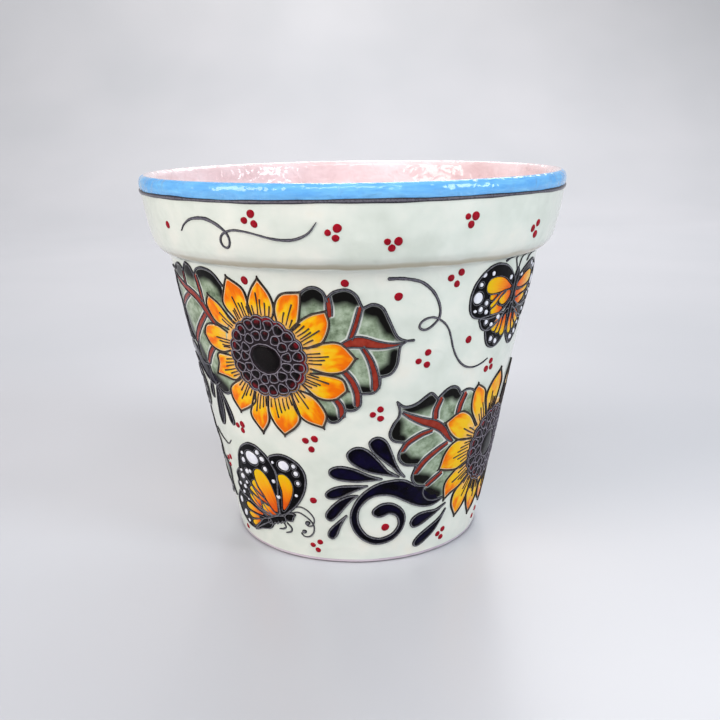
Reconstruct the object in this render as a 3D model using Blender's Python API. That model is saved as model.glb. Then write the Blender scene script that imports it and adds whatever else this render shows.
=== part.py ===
"""Glazed earthenware flowerpot in the talavera manner.

Metres, +Z up. The origin is the centre of the foot, on the ground, and the front is -Y.
The clay is one thrown body. Each coat of glaze is its own thin shell on it, and each raised
motif of slip and enamel is its own relief piece on the ivory glaze.
"""

import math

import bmesh
import bpy
from mathutils import Vector
from mathutils.geometry import delaunay_2d_cdt

mm = 0.001

# Driving sizes, in millimetres.
FOOT_RADIUS = 76.7          # glazed outside at the ground
WALL_SLOPE = 0.1989         # growth of the radius per millimetre of height
NECK_HEIGHT = 177.4         # where the wall meets the collar
BODY_WALL = 9.0             # whole wall: clay and both glazes
GLAZE = 0.6                 # thickness of a glaze coat
GAP = 0.3                   # clearance between touching pieces
RELIEF = 0.8                # thickness of a raised motif
FLOOR_HEIGHT = 11.1         # top of the clay floor inside
FOOT_RECESS = 2.5           # hollow under the floor
FOOT_RING_INNER = 63.0
DRAIN_RADIUS = 9.0
SEGMENTS = 40               # divisions round the pot
RELIEF_GRID = 8.0           # spacing of the inner points of a relief

# Finished outside of the collar, from the neck to the line under the lip: radius, height.
COLLAR_PROFILE = [
    (112.2, 177.9), (114.4, 178.6), (118.2, 181.8), (121.0, 187.0), (123.4, 196.0),
    (126.1, 212.4),
]
# Finished outside of the blue lip, from the line to the crest.
LIP_PROFILE = [
    (126.5, 214.8), (127.0, 217.0), (126.9, 219.3), (126.0, 221.4), (124.2, 222.5),
]
# Finished inside, from the crest down to the floor at the drain hole.
INSIDE_PROFILE = [
    (123.0, 222.5), (120.6, 221.3), (119.0, 218.4), (116.2, 197.0), (111.6, 187.0),
    (102.4, 174.0), (71.2, 17.0), (67.0, 12.0), (11.0, 12.0),
]

# Motifs are drawn flat, in millimetres, x to the right and y up, then wrapped on the pot
# about an anchor: degrees round from the front, and height.
# One row per petal: direction of the tip in degrees, reach of the tip.
UPPER_PETALS = [
    (86, 43.5), (57, 46), (32, 46.5), (0, 49.5), (-26, 48), (-54, 49.5), (-82, 45.5),
    (-104, 47), (-125, 47.5), (-156, 46.5), (175, 48.5), (143, 49), (113, 49),
]
LOWER_PETALS = [
    (93, 46), (64, 46), (35, 47), (7, 48), (-22, 47), (-52, 48), (-85, 47),
    (-118, 49), (-144, 48), (-173, 47), (153, 50), (121, 49),
]
FLOWER_NOTCH = 34.0

# Closed outlines are lists of smooth stretches that meet at points.
SPRAY_UPPER_RIGHT = [
    [(-30, 30), (-27, 38), (-21, 41), (-16, 39), (-13, 34)],
    [(-13, 34), (-10, 38.5), (-4, 40), (1, 37.5), (4.5, 30)],
    [(4.5, 30), (10, 32), (15, 29.5), (18.5, 22), (22, 13), (31.5, 9.8)],
    [(31.5, 9.8), (25, 7.8), (23.5, 2), (22.5, -4), (19, -8.5), (13.5, -10)],
    [(13.5, -10), (13, -15), (10, -19), (3, -19.5)],
    [(3, -19.5), (2.5, -26.5), (-1, -29.5), (-5, -29.5)],
    [(-5, -29.5), (-9, -36), (-14, -37), (-18, -33)],
    [(-18, -33), (-26, -18), (-30, 0), (-32, 16), (-30, 30)],
]
SPRAY_UPPER_LEFT = [
    [(30, 38), (24, 45), (16, 47), (9, 46), (5, 42)],
    [(5, 42), (2, 47), (-3, 48), (-8, 43.5)],
    [(-8, 43.5), (-14, 46), (-21, 45), (-26, 41), (-33, 41.5)],
    [(-33, 41.5), (-30, 36), (-33.5, 29), (-32.5, 22), (-26, 18)],
    [(-26, 18), (-29, 10), (-26, 2), (-16, -2.5)],
    [(-16, -2.5), (-17, -9), (-12, -13.5), (-4.5, -13.5)],
    [(-4.5, -13.5), (-3, -21), (2, -27), (9, -29), (18, -25)],
    [(18, -25), (26, -8), (30, 14), (30, 38)],
]
SPRAY_LOWER_LEFT = [
    [(-36.5, 39.5), (-32, 36.8), (-26, 37.8), (-21, 41.4), (-17, 43.7), (-12.5, 40)],
    [(-12.5, 40), (-7.3, 44.5), (-3.3, 45.7), (0.8, 44.3), (3.4, 40.6)],
    [(3.4, 40.6), (8, 41.7), (13, 40.5), (18, 36)],
    [(18, 36), (24, 20), (24, 0), (18, -20), (6, -27)],
    [(6, -27), (-5, -27.2), (-10, -25.5), (-13.2, -21), (-13, -16)],
    [(-13, -16), (-18.5, -14.5), (-21.8, -9), (-20, -1.5)],
    [(-20, -1.5), (-28, 0), (-31.8, 6), (-29, 14)],
    [(-29, 14), (-36, 15.5), (-38.5, 20), (-37, 26), (-34, 32), (-36.5, 39.5)],
]
SCROLL = [
    [(18, 10), (12, 14), (5, 15), (-3, 13.5), (-10, 9), (-15, 2), (-18, -6), (-17.5, -14),
     (-14, -21), (-8, -26), (-1, -27.5), (6, -25.5), (11, -20), (13.5, -13), (12.5, -7),
     (9, -2.5), (4, 0), (-1, -0.5), (-5, -3.5), (-5.5, -6), (-3, -8.5), (0, -8.5),
     (4, -6.8), (7, -8), (9.5, -12), (9.5, -16), (7, -20.5), (3, -23), (-2, -24),
     (-8, -22), (-12, -17), (-14, -11), (-14, -4), (-11, 1.5), (-6, 5.5), (0, 6.2),
     (6, 4.5), (12, 1), (18, -3), (24, -6), (30, -7.5), (38, -5)],
    [(38, -5), (35, -2), (31, -0.5), (26, 4), (24.5, 9), (18, 10)],
]
LOW_BUTTERFLY = [
    [(12.5, -18), (10, -21.5), (5, -24.5), (-2, -26.5), (-6, -28)],
    [(-6, -28), (-8, -31.5), (-14, -34), (-23, -37.5)],
    [(-23, -37.5), (-30, -38.3), (-36, -35.5), (-40, -29), (-40, -23), (-34, -16)],
    [(-34, -16), (-35.5, -12), (-33.5, -8)],
    [(-33.5, -8), (-34.5, -4), (-32, 0), (-28.5, 2)],
    [(-28.5, 2), (-26.5, 13), (-21, 20.8), (-12, 24.8), (-5, 23.2), (1, 18.3)],
    [(1, 18.3), (5, 21), (11, 22.2), (18, 20), (23, 14), (24, 6), (20, -4.5), (10, -15.5)],
    [(10, -15.5), (12.5, -18)],
]
HIGH_BUTTERFLY = [
    [(8.3, 21.5), (10.3, 19), (10.6, 15.5)],
    [(10.6, 15.5), (18, 22), (25, 25.5), (32, 26), (40, 22), (45, 13), (44, 2), (36, -4.3)],
    [(36, -4.3), (35, -9.5), (29.5, -12)],
    [(29.5, -12), (28, -19), (21, -24.5), (13.5, -23.5), (9.3, -17)],
    [(9.3, -17), (7.6, -14.5), (6, -18)],
    [(6, -18), (1, -23), (-5, -24), (-11, -19), (-13, -12)],
    [(-13, -12), (-18.5, -9), (-19.6, -4.5)],
    [(-19.6, -4.5), (-26, -2.5), (-29.8, 3), (-29.5, 13), (-24, 22), (-14, 26), (-4, 24.5),
     (6.2, 15.5)],
    [(6.2, 15.5), (6.4, 19), (8.3, 21.5)],
]
# Open lines: x, y and full width at each point.
WALL_TENDRIL = [
    (-24.5, 33.7, 2.0), (-12, 33, 1.9), (0, 26, 1.8), (5.5, 15, 1.7), (2, 7, 1.6),
    (-3.5, 4.6, 1.5), (-5.6, 8, 1.5), (0, 11.4, 1.4), (7, 8.8, 1.3), (13, 1, 1.3),
    (17, -10, 1.3), (23, -19, 1.3), (33, -23.8, 1.2), (45, -21.5, 1.0),
]
COLLAR_TENDRIL = [
    (-46, -3.9, 1.0), (-38.3, 2.7, 1.4), (-27.5, 4.8, 1.9), (-18.3, 2.4, 2.0),
    (-11.9, -2.8, 1.6), (-12, -8.4, 1.4), (-15.5, -9.1, 1.4), (-16.6, -4.4, 1.4),
    (-12.1, -0.8, 1.3), (-3.1, -0.2, 1.2), (11, -3.3, 1.3), (23.5, -4.5, 1.5),
    (32.8, -0.9, 1.2), (36.8, 3.9, 1.0),
]

UPPER_FLOWER = (-27.7, 128.9)
LOWER_FLOWER = (61.8, 62.5)


def clear_scene():
    for item in list(bpy.data.objects):
        bpy.data.objects.remove(item, do_unlink=True)


def glaze(name, colour, roughness):
    material = bpy.data.materials.new(name)
    material.use_nodes = True
    shader = material.node_tree.nodes["Principled BSDF"]
    shader.inputs["Base Color"].default_value = (*colour, 1.0)
    shader.inputs["Roughness"].default_value = roughness
    shader.inputs["Metallic"].default_value = 0.0
    return material


def add_object(name, mesh_data, material):
    mesh = bpy.data.meshes.new(name)
    mesh_data.to_mesh(mesh)
    mesh_data.free()
    mesh.materials.append(material)
    mesh.shade_smooth()
    mesh.set_sharp_from_angle(angle=math.radians(35))
    item = bpy.data.objects.new(name, mesh)
    bpy.context.scene.collection.objects.link(item)
    return item


def offset_path(path, distance):
    """Move an open profile sideways, to the left of its direction."""
    moved = []
    for i, point in enumerate(path):
        before = Vector(path[max(i - 1, 0)])
        after = Vector(path[min(i + 1, len(path) - 1)])
        here = Vector(point)
        first = (here - before).normalized() if i else (after - here).normalized()
        second = (after - here).normalized() if i < len(path) - 1 else first
        bisector = (first + second).normalized()
        stretch = max(bisector.dot(first), 0.6)
        moved.append((here.x - bisector.y * distance / stretch,
                      here.y + bisector.x * distance / stretch))
    return moved


def turned(name, profile, material):
    """Spin a closed profile of radius and height round the pot's axis."""
    mesh = bmesh.new()
    rings = []
    for radius, height in profile:
        ring = []
        for step in range(SEGMENTS):
            turn = 2 * math.pi * step / SEGMENTS
            ring.append(mesh.verts.new((radius * mm * math.sin(turn),
                                        -radius * mm * math.cos(turn), height * mm)))
        rings.append(ring)
    for i, ring in enumerate(rings):
        above = rings[(i + 1) % len(rings)]
        for step in range(SEGMENTS):
            after = (step + 1) % SEGMENTS
            mesh.faces.new((ring[step], ring[after], above[after], above[step]))
    bmesh.ops.recalc_face_normals(mesh, faces=mesh.faces)
    if mesh.calc_volume(signed=True) < 0:
        bmesh.ops.reverse_faces(mesh, faces=mesh.faces)
    return add_object(name, mesh, material)


def coat(name, path, inner, material):
    """A glaze coat between its finished face and its inner face."""
    return turned(name, path + inner[::-1], material)


def wall_radius(height):
    return FOOT_RADIUS + WALL_SLOPE * height


def collar_radius(height):
    for (r0, z0), (r1, z1) in zip(COLLAR_PROFILE, COLLAR_PROFILE[1:]):
        if height <= z1:
            return r0 + (r1 - r0) * (height - z0) / (z1 - z0)
    return COLLAR_PROFILE[-1][0]


# Both faces that carry motifs are cones of the same slope, so a flat drawing rolls on
# without stretching.
HALF_ANGLE = math.atan(WALL_SLOPE)
COLLAR_BASE = 121.0 - WALL_SLOPE * 186.0


def polar(point, anchor, base):
    """Distance from the cone's apex and turn on the unrolled cone."""
    start = (base + WALL_SLOPE * anchor[1]) / math.sin(HALF_ANGLE)
    distance = math.hypot(point[0], start + point[1])
    turn = math.radians(anchor[0]) * math.sin(HALF_ANGLE) + math.atan2(point[0], start + point[1])
    return distance, turn


def redraw(point, old, new, base=FOOT_RADIUS):
    """The same place on the pot, in another anchor's drawing."""
    distance, turn = polar(point, old, base)
    start = (base + WALL_SLOPE * new[1]) / math.sin(HALF_ANGLE)
    turn -= math.radians(new[0]) * math.sin(HALF_ANGLE)
    return distance * math.sin(turn), distance * math.cos(turn) - start


def wrap(point, anchor, lift, base, radius_at):
    distance, turn = polar(point, anchor, base)
    height = (distance * math.sin(HALF_ANGLE) - base) / WALL_SLOPE
    angle = turn / math.sin(HALF_ANGLE)
    radius = radius_at(height) + lift * math.cos(HALF_ANGLE)
    height -= lift * math.sin(HALF_ANGLE)
    return Vector((radius * math.sin(angle), -radius * math.cos(angle), height)) * mm


def curve_through(points, steps):
    """Catmull-Rom curve through an open run of points of any dimension."""
    run = [tuple(2 * a - b for a, b in zip(points[0], points[1]))]
    run += points
    run += [tuple(2 * a - b for a, b in zip(points[-1], points[-2]))]
    out = []
    for i in range(1, len(run) - 2):
        for step in range(steps):
            t = step / steps
            out.append(tuple(
                0.5 * (2 * b + (c - a) * t + (2 * a - 5 * b + 4 * c - d) * t * t
                       + (3 * b - a - 3 * c + d) * t ** 3)
                for a, b, c, d in zip(run[i - 1], run[i], run[i + 1], run[i + 2])))
    out.append(tuple(points[-1]))
    return out


def closed_outline(stretches, steps=2):
    points = []
    for stretch in stretches:
        points += curve_through(stretch, steps)[:-1]
    return points


def flower_outline(petals, grow=0.0):
    """Pointed petals: a notch, a shoulder, the tip and a shoulder for each."""
    points = []
    ordered = sorted(petals, key=lambda row: row[0])
    for i, (angle, reach) in enumerate(ordered):
        before = ordered[i - 1][0] - (360 if i == 0 else 0)
        after = ordered[(i + 1) % len(ordered)][0] + (360 if i == len(ordered) - 1 else 0)
        spread = 0.3 * min(angle - before, after - angle)
        rows = [((before + angle) / 2, FLOWER_NOTCH), (angle - spread, reach * 0.88),
                (angle, reach), (angle + spread, reach * 0.88)]
        for turn, distance in rows:
            turn = math.radians(turn)
            points.append(((distance + grow) * math.cos(turn), (distance + grow) * math.sin(turn)))
    return points


def inside(point, outline):
    x, y = point
    found = False
    for (x0, y0), (x1, y1) in zip(outline, outline[1:] + outline[:1]):
        if (y0 > y) != (y1 > y) and x < x0 + (x1 - x0) * (y - y0) / (y1 - y0):
            found = not found
    return found


def edge_distance(point, outline):
    here = Vector(point)
    best = 1e9
    for a, b in zip(outline, outline[1:] + outline[:1]):
        a = Vector(a)
        b = Vector(b)
        along = b - a
        t = min(max((here - a).dot(along) / max(along.length_squared, 1e-9), 0), 1)
        best = min(best, (here - a - along * t).length)
    return best


def grown(outline, distance):
    """The outline pushed outwards, for the clearance round a piece."""
    area = sum(a[0] * b[1] - b[0] * a[1] for a, b in zip(outline, outline[1:] + outline[:1]))
    side = 1 if area > 0 else -1
    moved = []
    for i, point in enumerate(outline):
        before = Vector(outline[i - 1])
        after = Vector(outline[(i + 1) % len(outline)])
        along = (after - before).normalized()
        moved.append((point[0] + along.y * distance * side, point[1] - along.x * distance * side))
    return moved


def largest_part(faces):
    """Keep the biggest group of triangles joined by edges."""
    by_edge = {}
    for index, face in enumerate(faces):
        for a, b in zip(face, face[1:] + face[:1]):
            by_edge.setdefault(frozenset((a, b)), []).append(index)
    group = list(range(len(faces)))

    def root(index):
        while group[index] != index:
            index = group[index]
        return index

    for members in by_edge.values():
        for other in members[1:]:
            group[root(other)] = root(members[0])
    groups = {}
    for index in range(len(faces)):
        groups.setdefault(root(index), []).append(index)
    best = max(groups.values(), key=len)
    return [faces[index] for index in best]


def relief(name, regions, keep, anchor, material, base=FOOT_RADIUS, radius_at=wall_radius):
    """A flat region, with its clearances cut away, as a thin solid that hugs the pot."""
    points = []
    edges = []
    for region in regions:
        first = len(points)
        points += region
        edges += [(first + i, first + (i + 1) % len(region)) for i in range(len(region))]
    width = [min(p[0] for p in regions[0]), max(p[0] for p in regions[0])]
    rise = [min(p[1] for p in regions[0]), max(p[1] for p in regions[0])]
    x = width[0] + RELIEF_GRID / 2
    while x < width[1]:
        y = rise[0] + RELIEF_GRID / 2
        while y < rise[1]:
            clear = min(edge_distance((x, y), region) for region in regions)
            if keep((x, y)) and clear > RELIEF_GRID * 0.45:
                points.append((x, y))
            y += RELIEF_GRID
        x += RELIEF_GRID
    flat, _, faces, _, _, _ = delaunay_2d_cdt([Vector(p) for p in points], edges, [], 0, 1e-4)
    kept = []
    for face in faces:
        centre = sum((flat[i] for i in face), Vector((0, 0))) / len(face)
        if keep(centre):
            kept.append(list(face))
    kept = largest_part(kept)
    mesh = bmesh.new()
    used = sorted({i for face in kept for i in face})
    low = {i: mesh.verts.new(wrap(flat[i], anchor, GAP, base, radius_at)) for i in used}
    high = {i: mesh.verts.new(wrap(flat[i], anchor, GAP + RELIEF, base, radius_at)) for i in used}
    count = {}
    for face in kept:
        for a, b in zip(face, face[1:] + face[:1]):
            count[(a, b)] = count.get((a, b), 0) + 1
    for face in kept:
        mesh.faces.new([high[i] for i in face])
        mesh.faces.new([low[i] for i in reversed(face)])
    for a, b in count:
        if (b, a) not in count:
            mesh.faces.new((high[b], high[a], low[a], low[b]))
    bmesh.ops.recalc_face_normals(mesh, faces=mesh.faces)
    if mesh.calc_volume(signed=True) < 0:
        bmesh.ops.reverse_faces(mesh, faces=mesh.faces)
    return add_object(name, mesh, material)


def tendril(name, line, anchor, material, base=FOOT_RADIUS, radius_at=wall_radius):
    path = curve_through(line, 3)
    sides = ([], [])
    for i, (x, y, width) in enumerate(path):
        before = Vector(path[max(i - 1, 0)][:2])
        after = Vector(path[min(i + 1, len(path) - 1)][:2])
        along = (after - before).normalized()
        for side, sign in zip(sides, (1, -1)):
            side.append((x - along.y * width / 2 * sign, y + along.x * width / 2 * sign))
    quads = [[sides[0][i], sides[0][i + 1], sides[1][i + 1], sides[1][i]]
             for i in range(len(path) - 1)]

    def keep(point):
        return any(inside(point, quad) for quad in quads)

    region = sides[0] + sides[1][::-1]
    return relief(name, [region], keep, anchor, material, base, radius_at)


def spray(name, stretches, anchor, flower, petals, material, flip=1):
    """A leaf spray, cut back from the flower that it grows from."""
    leaf = [(x, y * flip) for x, y in closed_outline(stretches)]
    cut = [redraw(p, flower, anchor) for p in flower_outline(petals, 0.5)]

    def keep(point):
        return inside(point, leaf) and not inside(point, cut)

    return relief(name, [leaf, cut], keep, anchor, material)


def scroll(name, anchor, leaf, leaf_anchor, material):
    """A scroll, cut back from the leaf spray that overlaps its end."""
    line = closed_outline(SCROLL, 1)
    cut = [redraw(p, leaf_anchor, anchor) for p in grown(closed_outline(leaf), 0.5)]

    def keep(point):
        return inside(point, line) and not inside(point, cut)

    return relief(name, [line, cut], keep, anchor, material)


def plain(name, stretches, anchor, material):
    outline = closed_outline(stretches)
    return relief(name, [outline], lambda point: inside(point, outline), anchor, material)


def mirrored(stretches, flip_x=False, flip_y=False):
    sx = -1 if flip_x else 1
    sy = -1 if flip_y else 1
    return [[(x * sx, y * sy) for x, y in stretch] for stretch in stretches]


def build_pot():
    clay = glaze("earthenware", (0.42, 0.17, 0.08), 0.85)
    ivory = glaze("ivory_glaze", (0.80, 0.81, 0.73), 0.15)
    blue = glaze("blue_glaze", (0.20, 0.50, 0.93), 0.12)
    pink = glaze("pink_glaze", (0.84, 0.68, 0.70), 0.15)
    mauve = glaze("mauve_glaze", (0.50, 0.36, 0.42), 0.3)
    dark = glaze("dark_slip", (0.07, 0.06, 0.08), 0.3)

    skin = GLAZE + GAP
    wall = [(wall_radius(z), z) for z in (3.0, NECK_HEIGHT)]
    outside = wall + COLLAR_PROFILE + LIP_PROFILE
    under = offset_path(outside, GLAZE)
    body_out = offset_path(outside, skin)
    body_in = offset_path(INSIDE_PROFILE, skin)
    collar_end = 2 + len(COLLAR_PROFILE)
    foot = [(DRAIN_RADIUS, FLOOR_HEIGHT), (DRAIN_RADIUS, FOOT_RECESS), (FOOT_RING_INNER, FOOT_RECESS),
            (FOOT_RING_INNER + 2.0, 0.0), (wall_radius(0) - skin - 1.0, 0.0),
            (wall_radius(0) - skin, 1.0)]
    turned("clay_body", foot + body_out + body_in, clay)
    coat("wall_glaze", wall, under[:2], ivory)
    band = [(wall_radius(z), z) for z in (0.6, 2.6)]
    coat("foot_band", band, offset_path(band, GLAZE), mauve)
    coat("collar_glaze", COLLAR_PROFILE, under[2:collar_end], ivory)
    coat("lip_glaze", LIP_PROFILE, under[collar_end:], blue)
    coat("inside_glaze", INSIDE_PROFILE, offset_path(INSIDE_PROFILE, GLAZE), pink)
    turned("lip_line", [(125.6, 212.8), (126.5, 212.9), (126.9, 213.5), (126.6, 214.2),
                        (125.8, 214.3)], dark)


def build_motifs():
    orange = glaze("petal_enamel", (0.87, 0.42, 0.02), 0.2)
    green = glaze("leaf_enamel", (0.22, 0.28, 0.20), 0.25)
    black = glaze("black_enamel", (0.01, 0.008, 0.02), 0.15)
    wing = glaze("wing_enamel", (0.55, 0.24, 0.02), 0.2)
    dark = glaze("tendril_slip", (0.07, 0.06, 0.08), 0.3)
    for side, turn in (("front", 0.0), ("back", 180.0)):
        upper = (UPPER_FLOWER[0] + turn, UPPER_FLOWER[1])
        lower = (LOWER_FLOWER[0] + turn, LOWER_FLOWER[1])
        upper_petals = flower_outline(UPPER_PETALS)
        lower_petals = flower_outline(LOWER_PETALS)
        relief(side + "_upper_sunflower", [upper_petals],
               lambda point: inside(point, upper_petals), upper, orange)
        relief(side + "_lower_sunflower", [lower_petals],
               lambda point: inside(point, lower_petals), lower, orange)
        spray(side + "_upper_spray_right", SPRAY_UPPER_RIGHT, (turn, 128.9), upper,
              UPPER_PETALS, green)
        spray(side + "_upper_spray_left", SPRAY_UPPER_LEFT, (turn - 55.0, 128.9), upper,
              UPPER_PETALS, green)
        spray(side + "_lower_spray_left", SPRAY_LOWER_LEFT, (turn + 35.0, 63.7), lower,
              LOWER_PETALS, green)
        spray(side + "_lower_spray_right", mirrored(SPRAY_LOWER_LEFT, flip_x=True, flip_y=True),
              (turn + 88.6, 63.7), lower, LOWER_PETALS, green)
        scroll(side + "_lower_scroll", (turn + 10.0, 40.0), SPRAY_LOWER_LEFT,
               (turn + 35.0, 63.7), black)
        scroll(side + "_upper_scroll", (turn - 74.5, 110.0), SPRAY_UPPER_LEFT,
               (turn - 55.0, 128.9), black)
        plain(side + "_low_butterfly", LOW_BUTTERFLY, (turn - 35.0, 47.0), wing)
        plain(side + "_high_butterfly", HIGH_BUTTERFLY, (turn + 51.0, 150.0), wing)
        tendril(side + "_wall_tendril", WALL_TENDRIL, (turn + 22.0, 140.0), dark)
        tendril(side + "_collar_tendril", COLLAR_TENDRIL, (turn - 25.0, 199.0), dark,
                COLLAR_BASE, collar_radius)


clear_scene()
build_pot()
build_motifs()
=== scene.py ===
import math

import bpy
import numpy as np
from mathutils import Matrix, Vector
from mathutils.geometry import delaunay_2d_cdt


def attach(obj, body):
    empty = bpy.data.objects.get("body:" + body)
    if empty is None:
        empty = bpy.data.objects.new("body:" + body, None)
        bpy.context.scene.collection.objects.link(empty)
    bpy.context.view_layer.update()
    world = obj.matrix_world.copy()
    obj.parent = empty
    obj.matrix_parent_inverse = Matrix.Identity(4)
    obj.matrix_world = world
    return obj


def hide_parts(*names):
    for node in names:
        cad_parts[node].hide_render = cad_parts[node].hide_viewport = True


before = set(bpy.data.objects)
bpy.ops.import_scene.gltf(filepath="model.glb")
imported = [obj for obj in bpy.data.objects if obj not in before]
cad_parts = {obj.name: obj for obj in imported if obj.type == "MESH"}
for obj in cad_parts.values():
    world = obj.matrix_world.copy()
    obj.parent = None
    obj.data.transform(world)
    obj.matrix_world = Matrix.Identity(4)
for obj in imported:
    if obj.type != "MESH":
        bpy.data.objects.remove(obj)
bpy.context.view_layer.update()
print("frame loaded:", len(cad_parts), "nodes")

mm = 0.001


def tint(hexText):
    # an sRGB hex value as linear red, green, blue, alpha
    values = [int(hexText[i:i + 2], 16) / 255 for i in (1, 3, 5)]
    return [v / 12.92 if v <= 0.04045 else ((v + 0.055) / 1.055) ** 2.4 for v in values] + [1.0]


def feed(tree, socket, value):
    # a node gives its first live output and a socket gives itself; anything else is a fixed value
    if isinstance(value, bpy.types.Node):
        value = next(output for output in value.outputs if output.enabled)
    if isinstance(value, bpy.types.NodeSocket):
        tree.links.new(value, socket)
    else:
        socket.default_value = tint(value) if isinstance(value, str) else value


def addNode(tree, kind, settings):
    # settings are the node's properties and sockets, and a ramp's stops as (place, colour) pairs
    node = tree.nodes.new("ShaderNode" + kind)
    for name, value in settings.items():
        if name == "stops":
            ramp = node.color_ramp
            while len(ramp.elements) < len(value):
                ramp.elements.new(0.5)
            for element, (place, colour) in zip(ramp.elements, value):
                element.position = place
                element.color = tint(colour) if isinstance(colour, str) else (colour,) * 3 + (1,)
        elif isinstance(name, str) and hasattr(node, name):
            setattr(node, name, value)
        else:
            feed(tree, node.inputs[name], value)
    return node


def newMaterial(name, settings):
    material = bpy.data.materials.new(name)
    material.use_nodes = True
    tree = material.node_tree
    shader = tree.nodes["Principled BSDF"]
    for key, value in settings.items():
        shader.inputs[key].default_value = value
    return material, tree, shader


def makePiece(name, points, faces, material, nodes, paint=None, sharp=50):
    mesh = bpy.data.meshes.new(name)
    mesh.from_pydata(points.tolist(), [], faces)
    mesh.materials.append(material)
    if paint is not None:
        layer = mesh.attributes.new("paint", "FLOAT_COLOR", "POINT")
        layer.data.foreach_set("color", paint.astype(np.float32).ravel())
    mesh.shade_smooth()
    mesh.set_sharp_from_angle(angle=math.radians(sharp))
    mesh.update()
    piece = bpy.data.objects.new(name, mesh)
    bpy.context.scene.collection.objects.link(piece)
    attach(piece, "root")
    for node in nodes:
        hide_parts(node)


# the pot's own shape, in millimetres
pot = {
    "footRadius": 76.7,      # outside at the ground
    "slope": 0.1989,         # radius gained per millimetre of height
    "collarPoint": (121.0, 186.0),   # radius and height on the collar's own cone
    "neckTop": 174.0,        # where the straight wall turns out into the collar
    "coat": 0.6,             # glaze thickness
    "waver": 0.30,           # how far the wall wanders from a true circle
    "around": 360,           # steps round the pot
    "clayAround": 240,
}
sinHalf, cosHalf = math.sin(math.atan(pot["slope"])), math.cos(math.atan(pot["slope"]))
faceBase = {"wall": pot["footRadius"], "collar": pot["collarPoint"][0] - pot["slope"] * pot["collarPoint"][1]}

# radius and height of the finished outside, foot to line: the collar is a rolled band
outerShape = np.array([
    (76.7, 0.0), (111.3, 174.0), (111.75, 176.2), (112.5, 177.7), (113.8, 178.4), (115.4, 179.2),
    (117.2, 180.7), (119.1, 182.8), (120.4, 185.0), (121.3, 187.6), (122.2, 191.0), (123.4, 196.0),
    (124.5, 202.0), (125.4, 207.5), (126.05, 212.0), (126.3, 213.6), (126.5, 214.8),
])
# slow swells left by the hands: size, waves round the pot, how fast they climb, where they start
handSwells = [(0.40, 2, 90, 0.7), (0.30, 3, -52, 2.1), (0.22, 5, 23, 0.4), (0.16, 8, -17, 0),
              (0.13, 13, 9.5, 1.3), (0.10, 19, -7.1, 0.5), (0.10, 4, 6.3, 2.6)]


def handWaver(turn, height):
    return pot["waver"] * sum(size * np.sin(waves * turn + height / climb + start)
                              for size, waves, climb, start in handSwells)


def glazeRadius(height):
    return np.interp(height, outerShape[:, 1], outerShape[:, 0])


def onCone(face, anchor, flat):
    # how far the cone's tip lies below the anchor; each point's distance from it and angle round it
    tip = (faceBase[face] + pot["slope"] * anchor[1]) / sinHalf
    return tip, np.hypot(flat[:, 0], tip + flat[:, 1]), np.arctan2(flat[:, 0], tip + flat[:, 1])


def wrapOn(face, anchor, flat, lift):
    # a flat drawing rolled on to the cone about its anchor: degrees from the front, height
    _, distance, angle = onCone(face, anchor, flat)
    turn = math.radians(anchor[0]) + angle / sinHalf
    height = (distance * sinHalf - faceBase[face]) / pot["slope"]
    radius = glazeRadius(height) + handWaver(turn, height) + lift * cosHalf
    return np.stack([radius * np.sin(turn), -radius * np.cos(turn), height - lift * sinHalf], 1) * mm


def moveFlat(flat, old, new):
    # the same places on the wall, drawn about another anchor
    _, distance, angle = onCone("wall", old, flat)
    angle = angle + math.radians(old[0] - new[0]) * sinHalf
    tip = onCone("wall", new, flat)[0]
    return np.stack([distance * np.sin(angle), distance * np.cos(angle) - tip], 1)


def roundTurns(count):
    return np.arange(count) * 2 * math.pi / count


def oval(turn, radius, stretch=1.0, lean=0.0):
    # points round a stretched circle that leans over by some degrees
    lean = math.radians(lean)
    x, y = radius * stretch * np.cos(turn), radius * np.sin(turn)
    return np.stack([x * math.cos(lean) - y * math.sin(lean), x * math.sin(lean) + y * math.cos(lean)], 1)


def ringFaces(rows, ring, closed=True, flip=False):
    # quads between neighbouring rows of points, each row a closed ring
    faces = []
    for i in range(rows if closed else rows - 1):
        here, there = i * ring, (i + 1) % rows * ring
        for j in range(ring):
            k = (j + 1) % ring
            a, b = (here + k, there + j) if flip else (there + j, here + k)
            faces.append((here + j, a, there + k, b))
    return faces


def turnedPiece(name, profile, material, nodes, waver=1.0, around=pot["around"]):
    # a closed profile of radius and height spun round the axis; waver says how much it wanders
    turn = roundTurns(around)
    radius = profile[:, :1] + handWaver(turn, profile[:, 1:]) * np.reshape(waver, (-1, 1))
    height = np.repeat(profile[:, 1:], around, 1)
    points = np.stack([radius * np.sin(turn), -radius * np.cos(turn), height], 2).reshape(-1, 3) * mm
    makePiece(name, points, ringFaces(len(profile), around, flip=True), material, nodes, sharp=70)


def smoothRun(points, step, closed=False):
    # Catmull-Rom through the points, any number of columns, about one step apart
    points = np.array(points, float)
    if closed:
        run = np.vstack([points[-1:], points, points[:2]])
    else:
        run = np.vstack([2 * points[0] - points[1], points, 2 * points[-1] - points[-2]])
    parts = []
    for a, b, c, d in zip(run, run[1:], run[2:], run[3:]):
        count = max(int(round(np.linalg.norm((c - b)[:2]) / step)), 1)
        t = np.arange(count)[:, None] / count
        parts.append(0.5 * (2 * b + (c - a) * t + (2 * a - 5 * b + 4 * c - d) * t ** 2
                            + (3 * b - a - 3 * c + d) * t ** 3))
    return np.vstack(parts if closed else parts + [points[-1:]])


def pathLength(path):
    return np.concatenate([[0], np.cumsum(np.linalg.norm(np.diff(path, axis=0), axis=1))])


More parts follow.
